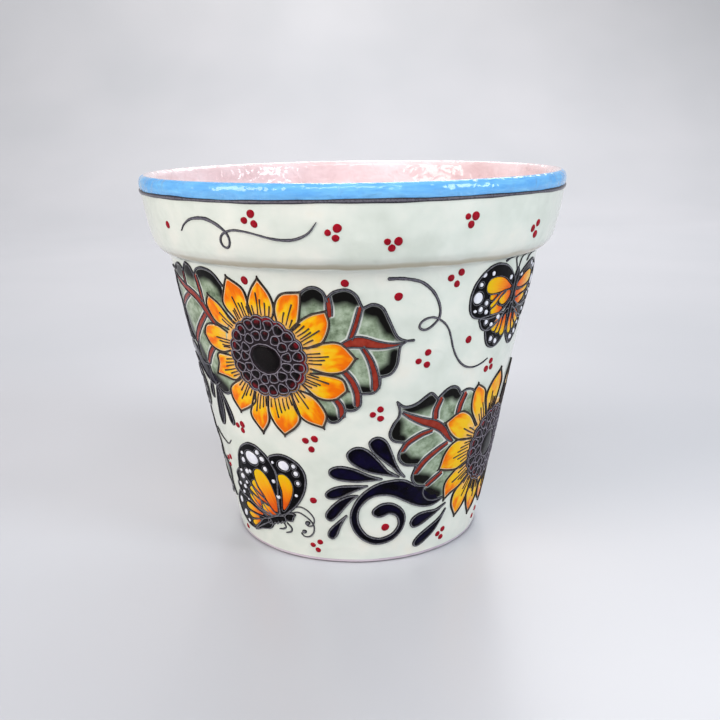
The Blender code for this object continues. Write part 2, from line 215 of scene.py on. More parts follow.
def pathFrame(path, closed=False):
    # at each point the unit direction along the path, and the way to its left
    along = np.roll(path, -1, 0) - np.roll(path, 1, 0) if closed else np.gradient(path, axis=0)
    along = along / np.maximum(np.linalg.norm(along, axis=1), 1e-6)[:, None]
    return along, np.stack([-along[:, 1], along[:, 0]], 1)


def resample(path, step):
    path = np.array(path, float)
    length = pathLength(path)
    at = np.linspace(0, length[-1], max(int(length[-1] / step), 2) + 1)
    return np.stack([np.interp(at, length, column) for column in path.T], 1)


def newPiles(*keys):
    return {key: {"flat": [], "lift": [], "paint": [], "faces": [], "count": 0} for key in keys}


def addTo(pile, flat, lift, paint, faces):
    first = pile["count"]
    pile["flat"].append(flat)
    pile["lift"].append(lift)
    pile["paint"].append(paint)
    pile["faces"] += [tuple(first + i for i in face) for face in faces]
    pile["count"] += len(flat)


def setRed(pile, red):
    # the red channel of the enamel laid last, top and underside
    pile["paint"][-1][:, 0] = np.tile(red, 2)


def placeMotifs(motifs):
    # every motif is laid on the front, and again half a turn round
    for side, turn in (("front_", 0), ("back_", 180)):
        for name, node, piles, face, anchor, finishes, slotName in motifs:
            for key, material in finishes.items():
                pile = piles[key]
                points = wrapOn(face, (turn + anchor[0], anchor[1]), np.vstack(pile["flat"]),
                                np.concatenate(pile["lift"]))
                makePiece(side + name + "_" + key, points, pile["faces"], material,
                          [side + node] if node else [], np.vstack(pile["paint"]))


# sections of a trail, all in shares of its half width or height
ridgeAcross = np.array([-1.0, -0.82, -0.45, 0.0, 0.45, 0.82, 1.0])
beadHeight = np.array([0.0, 0.52, 0.9, 1.0, 0.9, 0.52, 0.0])
ribbonHeight = np.array([0.0, 0.9, 1.0, 1.0, 1.0, 0.9, 0.0])
roundOff = np.radians([85, 62, 35])   # a trail's ends are rounded in three steps
trailFoot = -0.15                     # millimetres that a trail sinks into the glaze


def trailSlip(pile, path, width=0.0, closed=False, foot=trailFoot, tall=0.8, mark=0.0, ribbon=False):
    # one bead of slip squeezed along a path; width is a number or the path's third column
    path = np.array(path, float)
    wide = path[:, 2] if path.shape[1] > 2 else np.full(len(path), width)
    path = path[:, :2]
    along, _ = pathFrame(path, closed)
    high = np.ones(len(path))
    if not closed:
        for end, turns in ((0, roundOff), (-1, roundOff[::-1])):
            reach = np.sin(turns) * wide[end] / 2 * (1 if end else -1)
            cap = (path[end] + along[end] * reach[:, None], np.repeat(along[end][None], 3, 0),
                   wide[end] * np.cos(turns), np.cos(turns) ** 0.5)
            path, along, wide, high = (np.concatenate((old, new) if end else (new, old))
                                       for old, new in zip((path, along, wide, high), cap))
    side = np.stack([-along[:, 1], along[:, 0]], 1)
    length = pathLength(path)
    # the hand speeds up and slows down
    wide = wide * (1 + 0.06 * np.sin(length * 0.9 + mark * 7) + 0.04 * np.sin(length * 2.3 + mark * 3))
    high = high * (1 + 0.05 * np.sin(length * 0.7 + mark * 5))
    many, ring = len(path), len(ridgeAcross)
    flat = path[:, None] + side[:, None] * (ridgeAcross[None, :, None] * wide[:, None, None] / 2)
    lift = foot + (tall - foot) * (ribbonHeight if ribbon else beadHeight) * high[:, None]
    paint = np.zeros((many, ring, 4))
    # a bead's height, or for a ribbon the way in from its edge in units of 5 mm
    paint[..., 2] = (1 - np.abs(ridgeAcross)) * wide[:, None] / 10 if ribbon else beadHeight
    faces = ringFaces(many, ring, closed)
    if not closed:
        faces += [tuple(range(ring)), tuple(range((many - 1) * ring, many * ring))[::-1]]
    addTo(pile, flat.reshape(-1, 2), lift.ravel(), paint.reshape(-1, 4), faces)


def edgeDistance(points, outline, closed=True):
    # shortest way from each point to a polyline
    best = np.full(len(points), 1e9)
    for a, b in zip(outline if closed else outline[:-1], np.roll(outline, -1, 0)):
        line = b - a
        t = np.clip(((points - a) @ line) / max(line @ line, 1e-9), 0, 1)
        best = np.minimum(best, np.linalg.norm(points - a - t[:, None] * line, axis=1))
    return best


def insideOutline(points, outline):
    found = np.zeros(len(points), bool)
    x, y = points[:, 0], points[:, 1]
    for (x0, y0), (x1, y1) in zip(outline, np.roll(outline, -1, 0)):
        if y0 != y1:
            found ^= ((y0 > y) != (y1 > y)) & (x < x0 + (x1 - x0) * (y - y0) / (y1 - y0))
    return found


def keepInside(points, outline, gap):
    # the points inside an outline, further than gap from its edge
    points = points[insideOutline(points, outline)]
    return points[edgeDistance(points, outline) > gap]


def growOutline(outline, amount):
    after = np.roll(outline, -1, 0)
    area = np.sum(outline[:, 0] * after[:, 1] - after[:, 0] * outline[:, 1])
    return outline - pathFrame(outline, True)[1] * amount * (1 if area > 0 else -1)


def clearRuns(path, blockers):
    # the stretches of a path that no petal covers
    covered = np.zeros(len(path), bool)
    for blocker in blockers:
        covered |= insideOutline(path[:, :2], blocker)
    runs, start = [], None
    for i, hidden in enumerate(list(covered) + [True]):
        if not hidden and start is None:
            start = i
        elif hidden and start is not None:
            if i - start > 2:
                runs.append(path[start:i])
            start = None
    return runs


# enamel cushions, in millimetres
cushion = {
    "insets": (0.6, 1.4),    # rows of points that follow the edge, for a crisp rise
    "apart": 0.7,            # least gap between points of such a row
    "besideLine": 1.3,       # rows of points beside each vein
    "sunk": -0.2,            # height of the edge and of the underside, against the glaze
    "under": -0.35,
    "domeReach": 3.0,        # how far in a dome still rises
}


def layEnamel(pile, outline, plateau, spacing=1.8, mark=0.0, axis=None, lines=(), soft=0.5, dome=0.0):
    # a filled shape: a thin cushion of enamel that rises quickly from its edge
    outline = np.array(outline, float)[:, :2]
    inner = []
    for inset in cushion["insets"]:
        for point in keepInside(growOutline(outline, -inset), outline, inset * 0.93):
            if not inner or min(np.hypot(*(point - other)) for other in inner[-3:]) > cushion["apart"]:
                inner.append(point)
    for line in lines:
        line = resample(line, cushion["besideLine"])
        for shift in (0, 1, -1):
            row = line + pathFrame(line)[1] * shift * cushion["besideLine"]
            for point in keepInside(row, outline, 0.6):
                if min(np.hypot(*(np.array(inner) - point).T)) > 0.6:
                    inner.append(point)
    low, top = outline.min(0), outline.max(0)
    grid = [(x, y) for r, y in enumerate(np.arange(low[1] + spacing / 2, top[1], spacing * 0.87))
            for x in np.arange(low[0] + spacing * (0.25 + 0.5 * (r % 2)), top[0], spacing)]
    grid = keepInside(np.reshape(grid, (-1, 2)), outline, cushion["insets"][1] + spacing * 0.35)
    points = [Vector(p) for p in np.vstack([outline, np.reshape(inner, (-1, 2)), grid]).tolist()]
    edges = [(i, (i + 1) % len(outline)) for i in range(len(outline))]
    flat, _, faces, _, _, _ = delaunay_2d_cdt(points, edges, [], 0, 1e-5)
    flat = np.array([tuple(p) for p in flat])
    keep = insideOutline(np.array([flat[list(face)].mean(0) for face in faces]), outline)
    ordered = []
    for (a, b, c), kept in zip(faces, keep):
        if kept:
            upright = np.cross(flat[b] - flat[a], flat[c] - flat[a]) > 0
            ordered.append((a, b, c) if upright else (a, c, b))
    used = sorted({i for face in ordered for i in face})
    place = {old: new for new, old in enumerate(used)}
    flat = flat[used]
    ordered = [tuple(place[i] for i in face) for face in ordered]
    depth = edgeDistance(flat, outline)
    sunk = cushion["sunk"]
    lift = (sunk + (plateau - sunk) * (1 - np.exp(-depth / soft))
            + dome * (1 - np.exp(-depth / cushion["domeReach"])))
    # red and green run along and across the axis, blue is the way in from any edge in units of 5 mm
    paint = np.zeros((len(flat), 4))
    if axis is not None:
        start, way = np.array(axis[0], float), np.array(axis[1], float) - axis[0]
        long = np.linalg.norm(way)
        way /= long
        paint[:, 0] = (flat - start) @ way / long
        paint[:, 1] = (flat - start) @ np.array([-way[1], way[0]]) / 20 + 0.5
    for line in lines:
        depth = np.minimum(depth, edgeDistance(flat, line, False))
    paint[:, 2] = depth / 5
    paint[:, 3] = mark
    count = len(flat)
    ways = dict.fromkeys((a, b) for face in ordered for a, b in zip(face, face[1:] + face[:1]))
    faces = ordered + [tuple(i + count for i in reversed(face)) for face in ordered]
    faces += [(b, a, a + count, b + count) for a, b in ways if (b, a) not in ways]
    addTo(pile, np.vstack([flat, flat]), np.concatenate([lift, np.full(count, cushion["under"])]),
          np.vstack([paint, paint]), faces)
    return flat


# a drop's section: share of its radius, share of its height
dropRings = [(1.0, -0.25), (0.99, 0.1), (0.93, 0.42), (0.8, 0.7), (0.58, 0.9), (0.3, 0.99)]


def dropEnamel(pile, centre, radius, tall=0.55, stretch=1.0, lean=0.0, mark=0.0, floor=0.0, sides=22):
    # one drop from a loaded brush, a little out of round
    turn = roundTurns(sides)
    shape = 1 + 0.035 * np.sin(2 * turn + mark * 9) + 0.02 * np.sin(3 * turn + mark * 4)
    edge = oval(turn, radius * shape, stretch, lean)
    flat = np.vstack([centre + edge * size for size, _ in dropRings] + [[centre]])
    paint = np.zeros((len(flat), 4))
    paint[:, 2] = [high for _, high in dropRings for _ in turn] + [1.0]
    last, tip = (len(dropRings) - 1) * sides, len(dropRings) * sides
    faces = [tuple(range(sides))[::-1]] + ringFaces(len(dropRings), sides, False, True)
    faces += [(last + j, last + (j + 1) % sides, tip) for j in range(sides)]
    addTo(pile, flat, floor + tall * paint[:, 2], paint, faces)


glazeBump = {
    # size across in millimetres, its noise, depth in millimetres
    "swell": (26.0, {"Detail": 2.0, "Roughness": 0.45}, 2.2),
    "ripple": (7.0, {"Detail": 1.5, "Distortion": 0.6}, 0.7),
    "peel": (1.6, {"Detail": 1.0}, 0.12),
}


def addGlazeSkin(tree, shader, swell=0.2, ripple=0.3, roughness=(0.05, 0.12)):
    # fired glaze: mirror-like but never flat, so a reflection breaks up and drifts
    place = addNode(tree, "TexCoord", {}).outputs["Object"]
    grains, normal = {}, {}
    for key, strength in (("swell", swell), ("ripple", ripple), ("peel", 0.12)):
        size, noise, depth = glazeBump[key]
        grains[key] = addNode(tree, "TexNoise", {"Scale": 1000 / size, **noise, "Vector": place})
        normal["Normal"] = addNode(tree, "Bump", {"Strength": strength, "Distance": depth * mm,
                                                  "Height": grains[key], **normal})
    gloss = addNode(tree, "MapRange", {"From Min": 0.3, "From Max": 0.7, "To Min": roughness[0],
                                       "To Max": roughness[1], "Value": grains["swell"]})
    feed(tree, shader.inputs["Normal"], normal["Normal"])
    feed(tree, shader.inputs["Roughness"], gloss)
    return place


def newEnamel(name, gloss):
    # a thin pool of enamel; its paint says where on the motif each point lies
    material, tree, shader = newMaterial(name, {"IOR": 1.5, "Specular IOR Level": gloss})
    place = addGlazeSkin(tree, shader)
    paint = addNode(tree, "Attribute", {"attribute_name": "paint"})
    parts = addNode(tree, "SeparateColor", {"Color": paint}).outputs
    return material, tree, shader, place, parts, paint.outputs["Alpha"]


def ivoryTinGlaze():
    # dipped tin glaze over red clay: milky, cooler where thick; the tan band under the collar is painted
    # shade
    material, tree, shader = newMaterial("ivoryTinGlaze", {"IOR": 1.5})
    place = addGlazeSkin(tree, shader, 0.4, 0.3)
    cloud = addNode(tree, "TexNoise", {"Scale": 38.0, "Detail": 3.0, "Roughness": 0.55, "Vector": place})
    body = addNode(tree, "ValToRGB", {"Fac": cloud, "stops": [
        (0.3, "#D3DAD0"), (0.46, "#DDE3DA"), (0.62, "#E6E8DF"), (0.78, "#EAE6D9")]})
    # painted shade: a tan band just under the collar's roll, where its underside faces down; noise ruffles
    # its edges
    height = addNode(tree, "SeparateXYZ", {"Vector": place}).outputs["Z"]
    brush = addNode(tree, "TexNoise", {"Scale": 60.0, "Detail": 2.0, "Vector": place})
    shaken = addNode(tree, "Math", {"operation": "MULTIPLY_ADD", 0: brush, 1: 0.0024, 2: height})
    span = addNode(tree, "MapRange", {"From Min": 0.172, "From Max": 0.192, "Value": shaken})
    edge = addNode(tree, "ValToRGB", {"Fac": span, "stops": [
        (0.0, 0.0), (0.40, 0.0), (0.45, 0.9), (0.53, 0.8), (0.60, 0.15), (0.75, 0.0)]})
    paintedCollarShade = addNode(tree, "Mix", {"data_type": "RGBA", 0: edge, 6: body, 7: "#B5AC94"})
    feed(tree, shader.inputs["Base Color"], paintedCollarShade)
    return material


def plainGlaze(name, stops, scale=(60, 60, 400), swell=0.4, ripple=0.9):
    # brushed glaze: one colour that runs thin and thick in long strokes round the pot
    material, tree, shader = newMaterial(name, {"IOR": 1.5})
    place = addGlazeSkin(tree, shader, swell, ripple, (0.03, 0.07))
    around = addNode(tree, "Mapping", {"Scale": scale, "Vector": place})
    streak = addNode(tree, "TexNoise", {"Scale": 1.0, "Detail": 3.0, "Roughness": 0.6, "Vector": around})
    feed(tree, shader.inputs["Base Color"], addNode(tree, "ValToRGB", {"Fac": streak, "stops": stops}))
    return material


def slipBead(name, crest, flank, foot, roughness=0.22):
    # raised clay slip under clear glaze: the glaze pools dark beside the bead; the paler crest is partly thin
    # glaze and partly painted highlight
    looks = {"IOR": 1.5, "Specular IOR Level": 0.16, "Roughness": roughness}
    material, tree, shader = newMaterial(name, looks)
    paint = addNode(tree, "Attribute", {"attribute_name": "paint"})
    height = addNode(tree, "SeparateColor", {"Color": paint}).outputs["Blue"]
    place = addNode(tree, "TexCoord", {}).outputs["Object"]
    grain = addNode(tree, "TexNoise", {"Scale": 900.0, "Detail": 3.0, "Vector": place})
    level = addNode(tree, "Math", {"operation": "MULTIPLY_ADD", 0: grain, 1: 0.35, 2: height})
    drop = addNode(tree, "Math", {"operation": "SUBTRACT", 0: level, 1: 0.17})
    # painted highlight: the colour lightens towards the bead's crest
    ramp = addNode(tree, "ValToRGB", {"Fac": drop, "stops": [(0.45, foot), (0.88, flank), (1.0, crest)]})
    bump = addNode(tree, "Bump", {"Strength": 0.3, "Distance": 0.0001, "Height": grain})
    feed(tree, shader.inputs["Base Color"], ramp)
    feed(tree, shader.inputs["Normal"], bump)
    return material


def petalEnamel(name, warmth):
    # two enamels worked wet: yellow at the root and edges, orange at the tip, peach between the strokes
    material, tree, shader, _, parts, mark = newEnamel(name, 0.09)
    onMotif = addNode(tree, "CombineXYZ", {"X": parts["Red"], "Y": parts["Green"], "Z": mark})
    long = addNode(tree, "Mapping", {"Scale": (2.2, 34.0, 9.0), "Vector": onMotif})
    streak = addNode(tree, "TexNoise", {"Scale": 1.0, "Detail": 3.0, "Roughness": 0.6, "Vector": long})
    wide = addNode(tree, "Mapping", {"Scale": (3.0, 5.5, 7.3), "Vector": onMotif})
    patch = addNode(tree, "TexNoise", {"Scale": 1.0, "Detail": 1.5, "Vector": wide})
    lengthwise = addNode(tree, "Math", {"operation": "MULTIPLY_ADD", 0: parts["Red"], 1: 0.95,
                                        2: warmth - 0.72})
    mixed = addNode(tree, "Math", {"operation": "MULTIPLY_ADD", 0: patch, 1: 1.35, 2: lengthwise})
    streaked = addNode(tree, "Math", {"operation": "MULTIPLY_ADD", 0: streak, 1: 0.08, 2: mixed})
    ramp = addNode(tree, "ValToRGB", {"Fac": streaked, "stops": [
        (0.26, "#F2C01A"), (0.46, "#F4AA0A"), (0.58, "#F48D06"), (0.76, "#EC6E03")]})
    root = addNode(tree, "ValToRGB", {"Fac": parts["Red"], "stops": [(0.0, 1.0), (0.2, 0.75), (0.36, 0.0)]})
    stripes = addNode(tree, "ValToRGB", {"Fac": streak, "stops": [(0.42, 0.1), (0.56, 0.85)]})
    both = addNode(tree, "Math", {"operation": "MULTIPLY", 0: root, 1: stripes})
    peach = addNode(tree, "Mix", {"data_type": "RGBA", 0: both, 6: ramp, 7: "#F0B184"})
    rim = addNode(tree, "ValToRGB", {"Fac": parts["Blue"], "stops": [(0.13, 1.0), (0.2, 0.8), (0.26, 0.0)]})
    halo = addNode(tree, "Mix", {"data_type": "RGBA", 0: rim, 6: peach, 7: "#F8DDB0"})
    feed(tree, shader.inputs["Base Color"], halo)
    return material


def leafEnamel():
    # sage wash, milky where it thins beside the slip, flooded with black at the lobes' ends
    material, tree, shader, place, parts, _ = newEnamel("leafEnamel", 0.07)
    mottle = addNode(tree, "TexNoise", {"Scale": 170.0, "Detail": 4.0, "Roughness": 0.65, "Vector": place})
    wash = addNode(tree, "ValToRGB", {"Fac": mottle, "stops": [
        (0.3, "#53634D"), (0.42, "#7D8D75"), (0.54, "#9AAA93"), (0.7, "#B8C6B1")]})
    thin = addNode(tree, "ValToRGB", {"Fac": parts["Blue"], "stops": [
        (0.14, 1.0), (0.24, 0.85), (0.33, 0.0)]})
    milky = addNode(tree, "Mix", {"data_type": "RGBA", 0: thin, 6: wash, 7: "#E2E7DF"})
    flood = addNode(tree, "Math", {"operation": "MULTIPLY_ADD", 0: mottle, 1: 0.42, 2: parts["Red"]})
    edge = addNode(tree, "ValToRGB", {"Fac": flood, "stops": [
        (0.24, 0.0), (0.5, 0.26), (0.78, 0.76), (1.0, 1.0)]})
    dark = addNode(tree, "Mix", {"data_type": "RGBA", 0: edge, 6: milky, 7: "#0D0C0B"})
    # the black stops just short of the slip and leaves a hair of pale glaze
    hair = addNode(tree, "ValToRGB", {"Fac": parts["Blue"], "stops": [(0.15, 0.6), (0.2, 0.42), (0.25, 0.0)]})
    final = addNode(tree, "Mix", {"data_type": "RGBA", 0: hair, 6: dark, 7: "#B9BDBC"})
    feed(tree, shader.inputs["Base Color"], final)
    return material


def floodedEnamel(name, deep, mid, rim, reach=(0.10, 0.3), gloss=0.1, blush="#8E2430", scale=260.0):
    # a pool of one enamel: deep in the middle, paler where it thins against the slip, blushed by hand
    material, tree, shader, place, parts, _ = newEnamel(name, gloss)
    cloud = addNode(tree, "TexNoise", {"Scale": scale, "Detail": 3.0, "Vector": place})
    pool = addNode(tree, "ValToRGB", {"Fac": cloud, "stops": [(0.35, deep), (0.68, mid)]})
    thin = addNode(tree, "ValToRGB", {"Fac": parts["Blue"], "stops": [(reach[0], 1.0), (reach[1], 0.0)]})
    both = addNode(tree, "Mix", {"data_type": "RGBA", 0: thin, 6: pool, 7: rim})
    touched = addNode(tree, "Mix", {"data_type": "RGBA", 0: parts["Red"], 6: both, 7: blush})
    feed(tree, shader.inputs["Base Color"], touched)
    return material


def wingCellEnamel():
    # yellow at the wing's edge running to orange at its root
    material, tree, shader, _, parts, mark = newEnamel("wingCellEnamel", 0.09)
    onMotif = addNode(tree, "CombineXYZ", {"X": parts["Red"], "Y": parts["Green"], "Z": mark})
    long = addNode(tree, "Mapping", {"Scale": (2.0, 26.0, 9.0), "Vector": onMotif})
    streak = addNode(tree, "TexNoise", {"Scale": 1.0, "Detail": 3.0, "Vector": long})
    level = addNode(tree, "Math", {"operation": "MULTIPLY_ADD", 0: streak, 1: 0.5, 2: -0.25})
    total = addNode(tree, "Math", {"operation": "ADD", 0: parts["Red"], 1: level})
    ramp = addNode(tree, "ValToRGB", {"Fac": total, "stops": [
        (0.0, "#E8BE08"), (0.35, "#F0AA06"), (0.62, "#F08306"), (0.92, "#DE580A")]})
    rim = addNode(tree, "ValToRGB", {"Fac": parts["Blue"], "stops": [(0.05, 0.7), (0.14, 0.0)]})
    halo = addNode(tree, "Mix", {"data_type": "RGBA", 0: rim, 6: ramp, 7: "#D89A5C"})
    feed(tree, shader.inputs["Base Color"], halo)
    return material


def bareEarthenware():
    # unglazed low-fired red clay: chalky, open-grained, with sandy specks; painted contact shadow darkens its
    # bottom edge
    material, tree, shader = newMaterial("bareEarthenware", {"Roughness": 0.9, "IOR": 1.45})
    place = addNode(tree, "TexCoord", {}).outputs["Object"]
    cloud = addNode(tree, "TexNoise", {"Scale": 70.0, "Detail": 5.0, "Roughness": 0.6, "Vector": place})
    grit = addNode(tree, "TexNoise", {"Scale": 1400.0, "Detail": 2.0, "Vector": place})
    body = addNode(tree, "ValToRGB", {"Fac": cloud, "stops": [
        (0.3, "#A9633F"), (0.5, "#BC7750"), (0.7, "#CC8C64")]})
    speck = addNode(tree, "ValToRGB", {"Fac": grit, "stops": [(0.62, 0.0), (0.7, 0.5)]})
    both = addNode(tree, "Mix", {"data_type": "RGBA", 0: speck, 6: body, 7: "#E3C6A4"})
    # painted contact shadow: the clay turns dark over its lowest two millimetres
    height = addNode(tree, "SeparateXYZ", {"Vector": place}).outputs["Z"]
    low = addNode(tree, "MapRange", {"From Min": 0.8 * mm, "From Max": 2.0 * mm, "To Min": 0.9, "To Max": 0.0,
                                     "Value": height})
    footContactShade = addNode(tree, "Mix", {"data_type": "RGBA", 0: low, 6: both, 7: "#3A2F33"})
    bump = addNode(tree, "Bump", {"Strength": 0.5, "Distance": 0.3 * mm, "Height": grit})
    feed(tree, shader.inputs["Base Color"], footContactShade)
    feed(tree, shader.inputs["Normal"], bump)
    return material


ivory = ivoryTinGlaze()
blue = plainGlaze("blueGlaze", [(0.28, "#5FA8EA"), (0.5, "#6CB4F0"), (0.66, "#79C1F5"), (0.82, "#92D0F8")],
                  swell=0.7, ripple=1.7)
pink = plainGlaze("pinkGlaze", [(0.3, "#E1C6C9"), (0.5, "#ECD6DA"), (0.7, "#F5E5EA")], (30, 30, 60), 0.6, 1.5)
mauve = plainGlaze("mauveGlaze", [(0.3, "#B7A5B3"), (0.5, "#CDBFCB"), (0.7, "#DBD1DA")])
clay = bareEarthenware()
# slips: crest (paler, partly a painted highlight), flank and foot of the bead
slateSlip = slipBead("slateSlip", "#73737A", "#36353C", "#0F0E12")
leafSlip = slipBead("leafSlip", "#63636B", "#2E2D35", "#100F13")
lineSlip = slipBead("lineSlip", "#6B6872", "#403E48", "#1D1B22")
umberSlip = slipBead("umberSlip", "#4E443F", "#2C2321", "#120D0C", 0.3)
seedSlip = slipBead("seedSlip", "#8F8893", "#5E5863", "#241F25", 0.25)
warmPetals = petalEnamel("petalEnamelOrange", 0.0)
goldPetals = petalEnamel("petalEnamelGold", -0.14)
leafPaint = leafEnamel()
cellPaint = wingCellEnamel()
# pools: deep, middle and thin colours, and how far in from the edge the thin one reaches
veinPaint = floodedEnamel("veinEnamel", "#8A281B", "#9C3A2B", "#D0AA9E", (0.03, 0.09))
inkPaint = floodedEnamel("inkEnamel", "#040308", "#0E082B", "#040307", (0.12, 0.4), 0.05, scale=130.0)
wingPaint = floodedEnamel("wingEnamel", "#040405", "#0A0910", "#08070A", gloss=0.05)
whitePaint = floodedEnamel("whiteEnamel", "#DFE0EC", "#EFF0F6", "#C5C3D2", (0.03, 0.14), 0.4)
seedBed = floodedEnamel("seedBedEnamel", "#1B1418", "#2B2228", "#3A3037", gloss=0.08)
seedPaint = floodedEnamel("seedEnamel", "#040203", "#0C0508", "#1C1014", (0.04, 0.12), blush="#8A1A26")
cherryPaint = floodedEnamel("cherryEnamel", "#8B081C", "#A01024", "#B42A3B", (0.02, 0.08))
print("materials mixed")


def sunkPath(path, depth):
    return path + pathFrame(path)[1] * depth


def coatProfile(path):
    # a thin closed shell under a finished face
    return np.vstack([path, sunkPath(path, pot["coat"])[::-1]])


rim = {
    "lineHeight": 213.7,     # the dark bead under the lip
    "lineWidth": 2.2,
    "lineLift": 0.7,
    "blueEnd": 123.9,        # radius at the crest where blue gives way to pink
    "ivoryFoot": (77.2, 2.4),    # radius and height where the ivory starts, just above the mauve band
    "ivoryWall": 3.2,        # heights where it joins the wall's own path and where it ends
    "ivoryEnd": 213.8,
    "band": [(76.85, 0.9), (77.15, 2.3)],
}
lipShape = smoothRun([(126.2, 214.0), (126.7, 215.6), (127.0, 217.2), (126.9, 219.2), (126.2, 221.0),
                      (125.0, 222.1), (123.6, 222.5), (122.0, 222.2), (120.7, 221.4), (119.6, 219.9),
                      (118.9, 217.6)], 0.55)
insideShape = smoothRun([(118.9, 217.6), (118.2, 211.0), (116.8, 203.0), (115.0, 194.5), (111.4, 186.6),
                         (106.6, 180.4), (103.0, 173.6), (96.2, 143.0), (71.9, 20.5), (70.4, 15.2),
                         (66.6, 12.4), (60.0, 12.0), (30.0, 12.0), (12.5, 12.0)], 3.0)
# the foot ring with its drain hole, from the floor's top outwards
footShape = [(9.6, 11.4), (9.0, 10.6), (9.0, 3.2), (9.6, 2.5), (61.0, 2.5), (62.6, 2.0), (64.0, 0.6),
             (65.2, 0.05), (73.2, 0.0), (74.6, 0.25), (75.6, 1.3)]
# the point of the lip where its blue ends
split = int(np.argmin(np.abs(lipShape[:, 0] - rim["blueEnd"]) + (lipShape[:, 1] < 220) * 50))

wallPath = resample(outerShape[outerShape[:, 1] <= pot["neckTop"]], 2.0)
wallPath = wallPath[wallPath[:, 1] > rim["ivoryWall"]][:-1]
ivoryPath = np.vstack([[rim["ivoryFoot"]], wallPath, smoothRun(outerShape[1:-1], 0.9)])
ivoryPath = ivoryPath[ivoryPath[:, 1] < rim["ivoryEnd"]]
turnedPiece("wall_and_collar_glaze", coatProfile(ivoryPath), ivory,
            ["wall_glaze", "collar_glaze"])
turnedPiece("lip_glaze_coat", coatProfile(lipShape[:split + 1]), blue, ["lip_glaze"])
# the waver dies out towards the floor, which is flat
shell = coatProfile(np.vstack([lipShape[split:], insideShape[1:]]))
turnedPiece("inside_glaze_coat", shell, pink, ["inside_glaze"],
            waver=np.interp(shell[:, 1], [12, 60], [0.0, 1.0]))
turnedPiece("foot_band_glaze", coatProfile(resample(rim["band"], 0.4)), mauve, ["foot_band"])

# the fired clay reaches a little into its coats; only the foot, the hollow under it and the drain hole show
depth = pot["coat"] * 0.9
body = np.vstack([footShape, sunkPath(np.vstack([ivoryPath, lipShape]), depth), sunkPath(insideShape, depth)])
turnedPiece("thrown_clay_body", body, clay, ["clay_body"],
            waver=np.interp(body[:, 1], [3, 60], [0.0, 1.0]), around=pot["clayAround"])


def lipLine():
    # a brushed bead that thins and thickens and never runs quite level
    turn = roundTurns(480)[:, None]
    thick = 1 + 0.14 * np.sin(5 * turn + 1) + 0.12 * np.sin(13 * turn) + 0.08 * np.sin(31 * turn + 2)
    level = rim["lineHeight"] + 0.3 * np.sin(3 * turn + 0.8) + 0.16 * np.sin(8 * turn + 2)
    height = level + ridgeAcross * rim["lineWidth"] / 2 * thick
    radius = (glazeRadius(height) + handWaver(turn, height) + trailFoot
              + (rim["lineLift"] - trailFoot) * beadHeight * thick ** 0.5)
    points = np.stack([radius * np.sin(turn), -radius * np.cos(turn), height], 2).reshape(-1, 3) * mm
    paint = np.zeros((len(points), 4))
    paint[:, 2] = np.tile(beadHeight, len(turn))
    makePiece("lip_line_bead", points, ringFaces(len(turn), len(ridgeAcross)), lineSlip,
              ["lip_line"], paint)


lipLine()
print("pot turned")


flowers = {
    "seedRadius": 23.6,      # edge of the seed head
    "bedMargin": 4.6,        # how far the yellow bed reaches under the petals
    "eyeRadius": 9.2,
    "petalRise": (0.42, 0.47),       # by turns, so that neighbours part
    # widths of the slip beads
    "petalLine": 1.3,
    "strokeLine": 1.15,
    "netLine": 1.0,
    # strokes: gap at the root, share of the root line they take, lengths at the middle and for the longest
    "strokeGap": 1.75,
    "strokeSpread": 0.74,
    "strokeReach": (8.2, 11.5),
    # rows of seed cells: count, radius, half width, half length, and how red some of them turn
    "innerCells": (14, 13.1, 2.7, 2.85, [0.0, 0.0, 0.25]),
    "outerCells": (20, 19.5, 2.85, 3.05, [0.0, 0.35, 0.65, 0.9]),
}
# each petal: root, two points up one side, the tip, two points down the other side, root
upperPetals = [
    [(-4, 22), (-6.8, 29), (-3.5, 38), (2.1, 45.2), (8, 36.4), (9.3, 28), (6.5, 21.5)],
    [(10.5, 18), (9.8, 29), (14.5, 36.8), (25.6, 38.1), (24.4, 30), (21, 19), (15, 15.5)],
    [(16.5, 16.5), (22, 21.3), (29, 25.5), (37.6, 27.3), (38.5, 19), (33, 9), (22, 6.5)],
    [(25, 6.5), (33, 9.2), (43, 8.6), (50.3, -0.9), (44, -7.5), (35, -8.7), (25.5, -5.5)],
    [(25, -8), (34, -9.2), (42, -12.5), (43.8, -19.4), (36, -24.3), (27, -22.8), (19.5, -15)],
    [(18, -18.5), (25.5, -23), (30.6, -33), (28, -41.3), (18, -37), (13.3, -30), (12.5, -19.5)],
    [(12, -21), (15.3, -34), (12.5, -41), (4.3, -47.4), (-1, -41), (-3.8, -33), (-2.5, -24)],
    [(-3, -24), (-3.8, -31), (-4.8, -40), (-10.2, -48.1), (-17, -38.6), (-15, -31), (-11.5, -22)],
    [(-11.5, -21), (-12, -28.5), (-17.5, -33.5), (-25.6, -38.2), (-31, -30.6), (-30.5, -23.5), (-20, -16)],
    [(-20, -14.5), (-25.5, -18.4), (-33.8, -18.2), (-42.7, -18.8), (-38.6, -11), (-37.2, -4.4),
     (-22.8, -3)],
    [(-25, 0), (-33, -2.7), (-43, -1), (-48.3, 5), (-44, 11.5), (-34, 13.8), (-25, 11)],
    [(-23.5, 13), (-34, 16), (-39.5, 24.5), (-36.5, 31.2), (-28, 27.2), (-21.5, 20.5), (-17, 17.5)],
    [(-16.5, 19.5), (-24, 28), (-21.5, 37.5), (-18.5, 44.2), (-8.6, 38.6), (-6.2, 30), (-4, 21)],
]
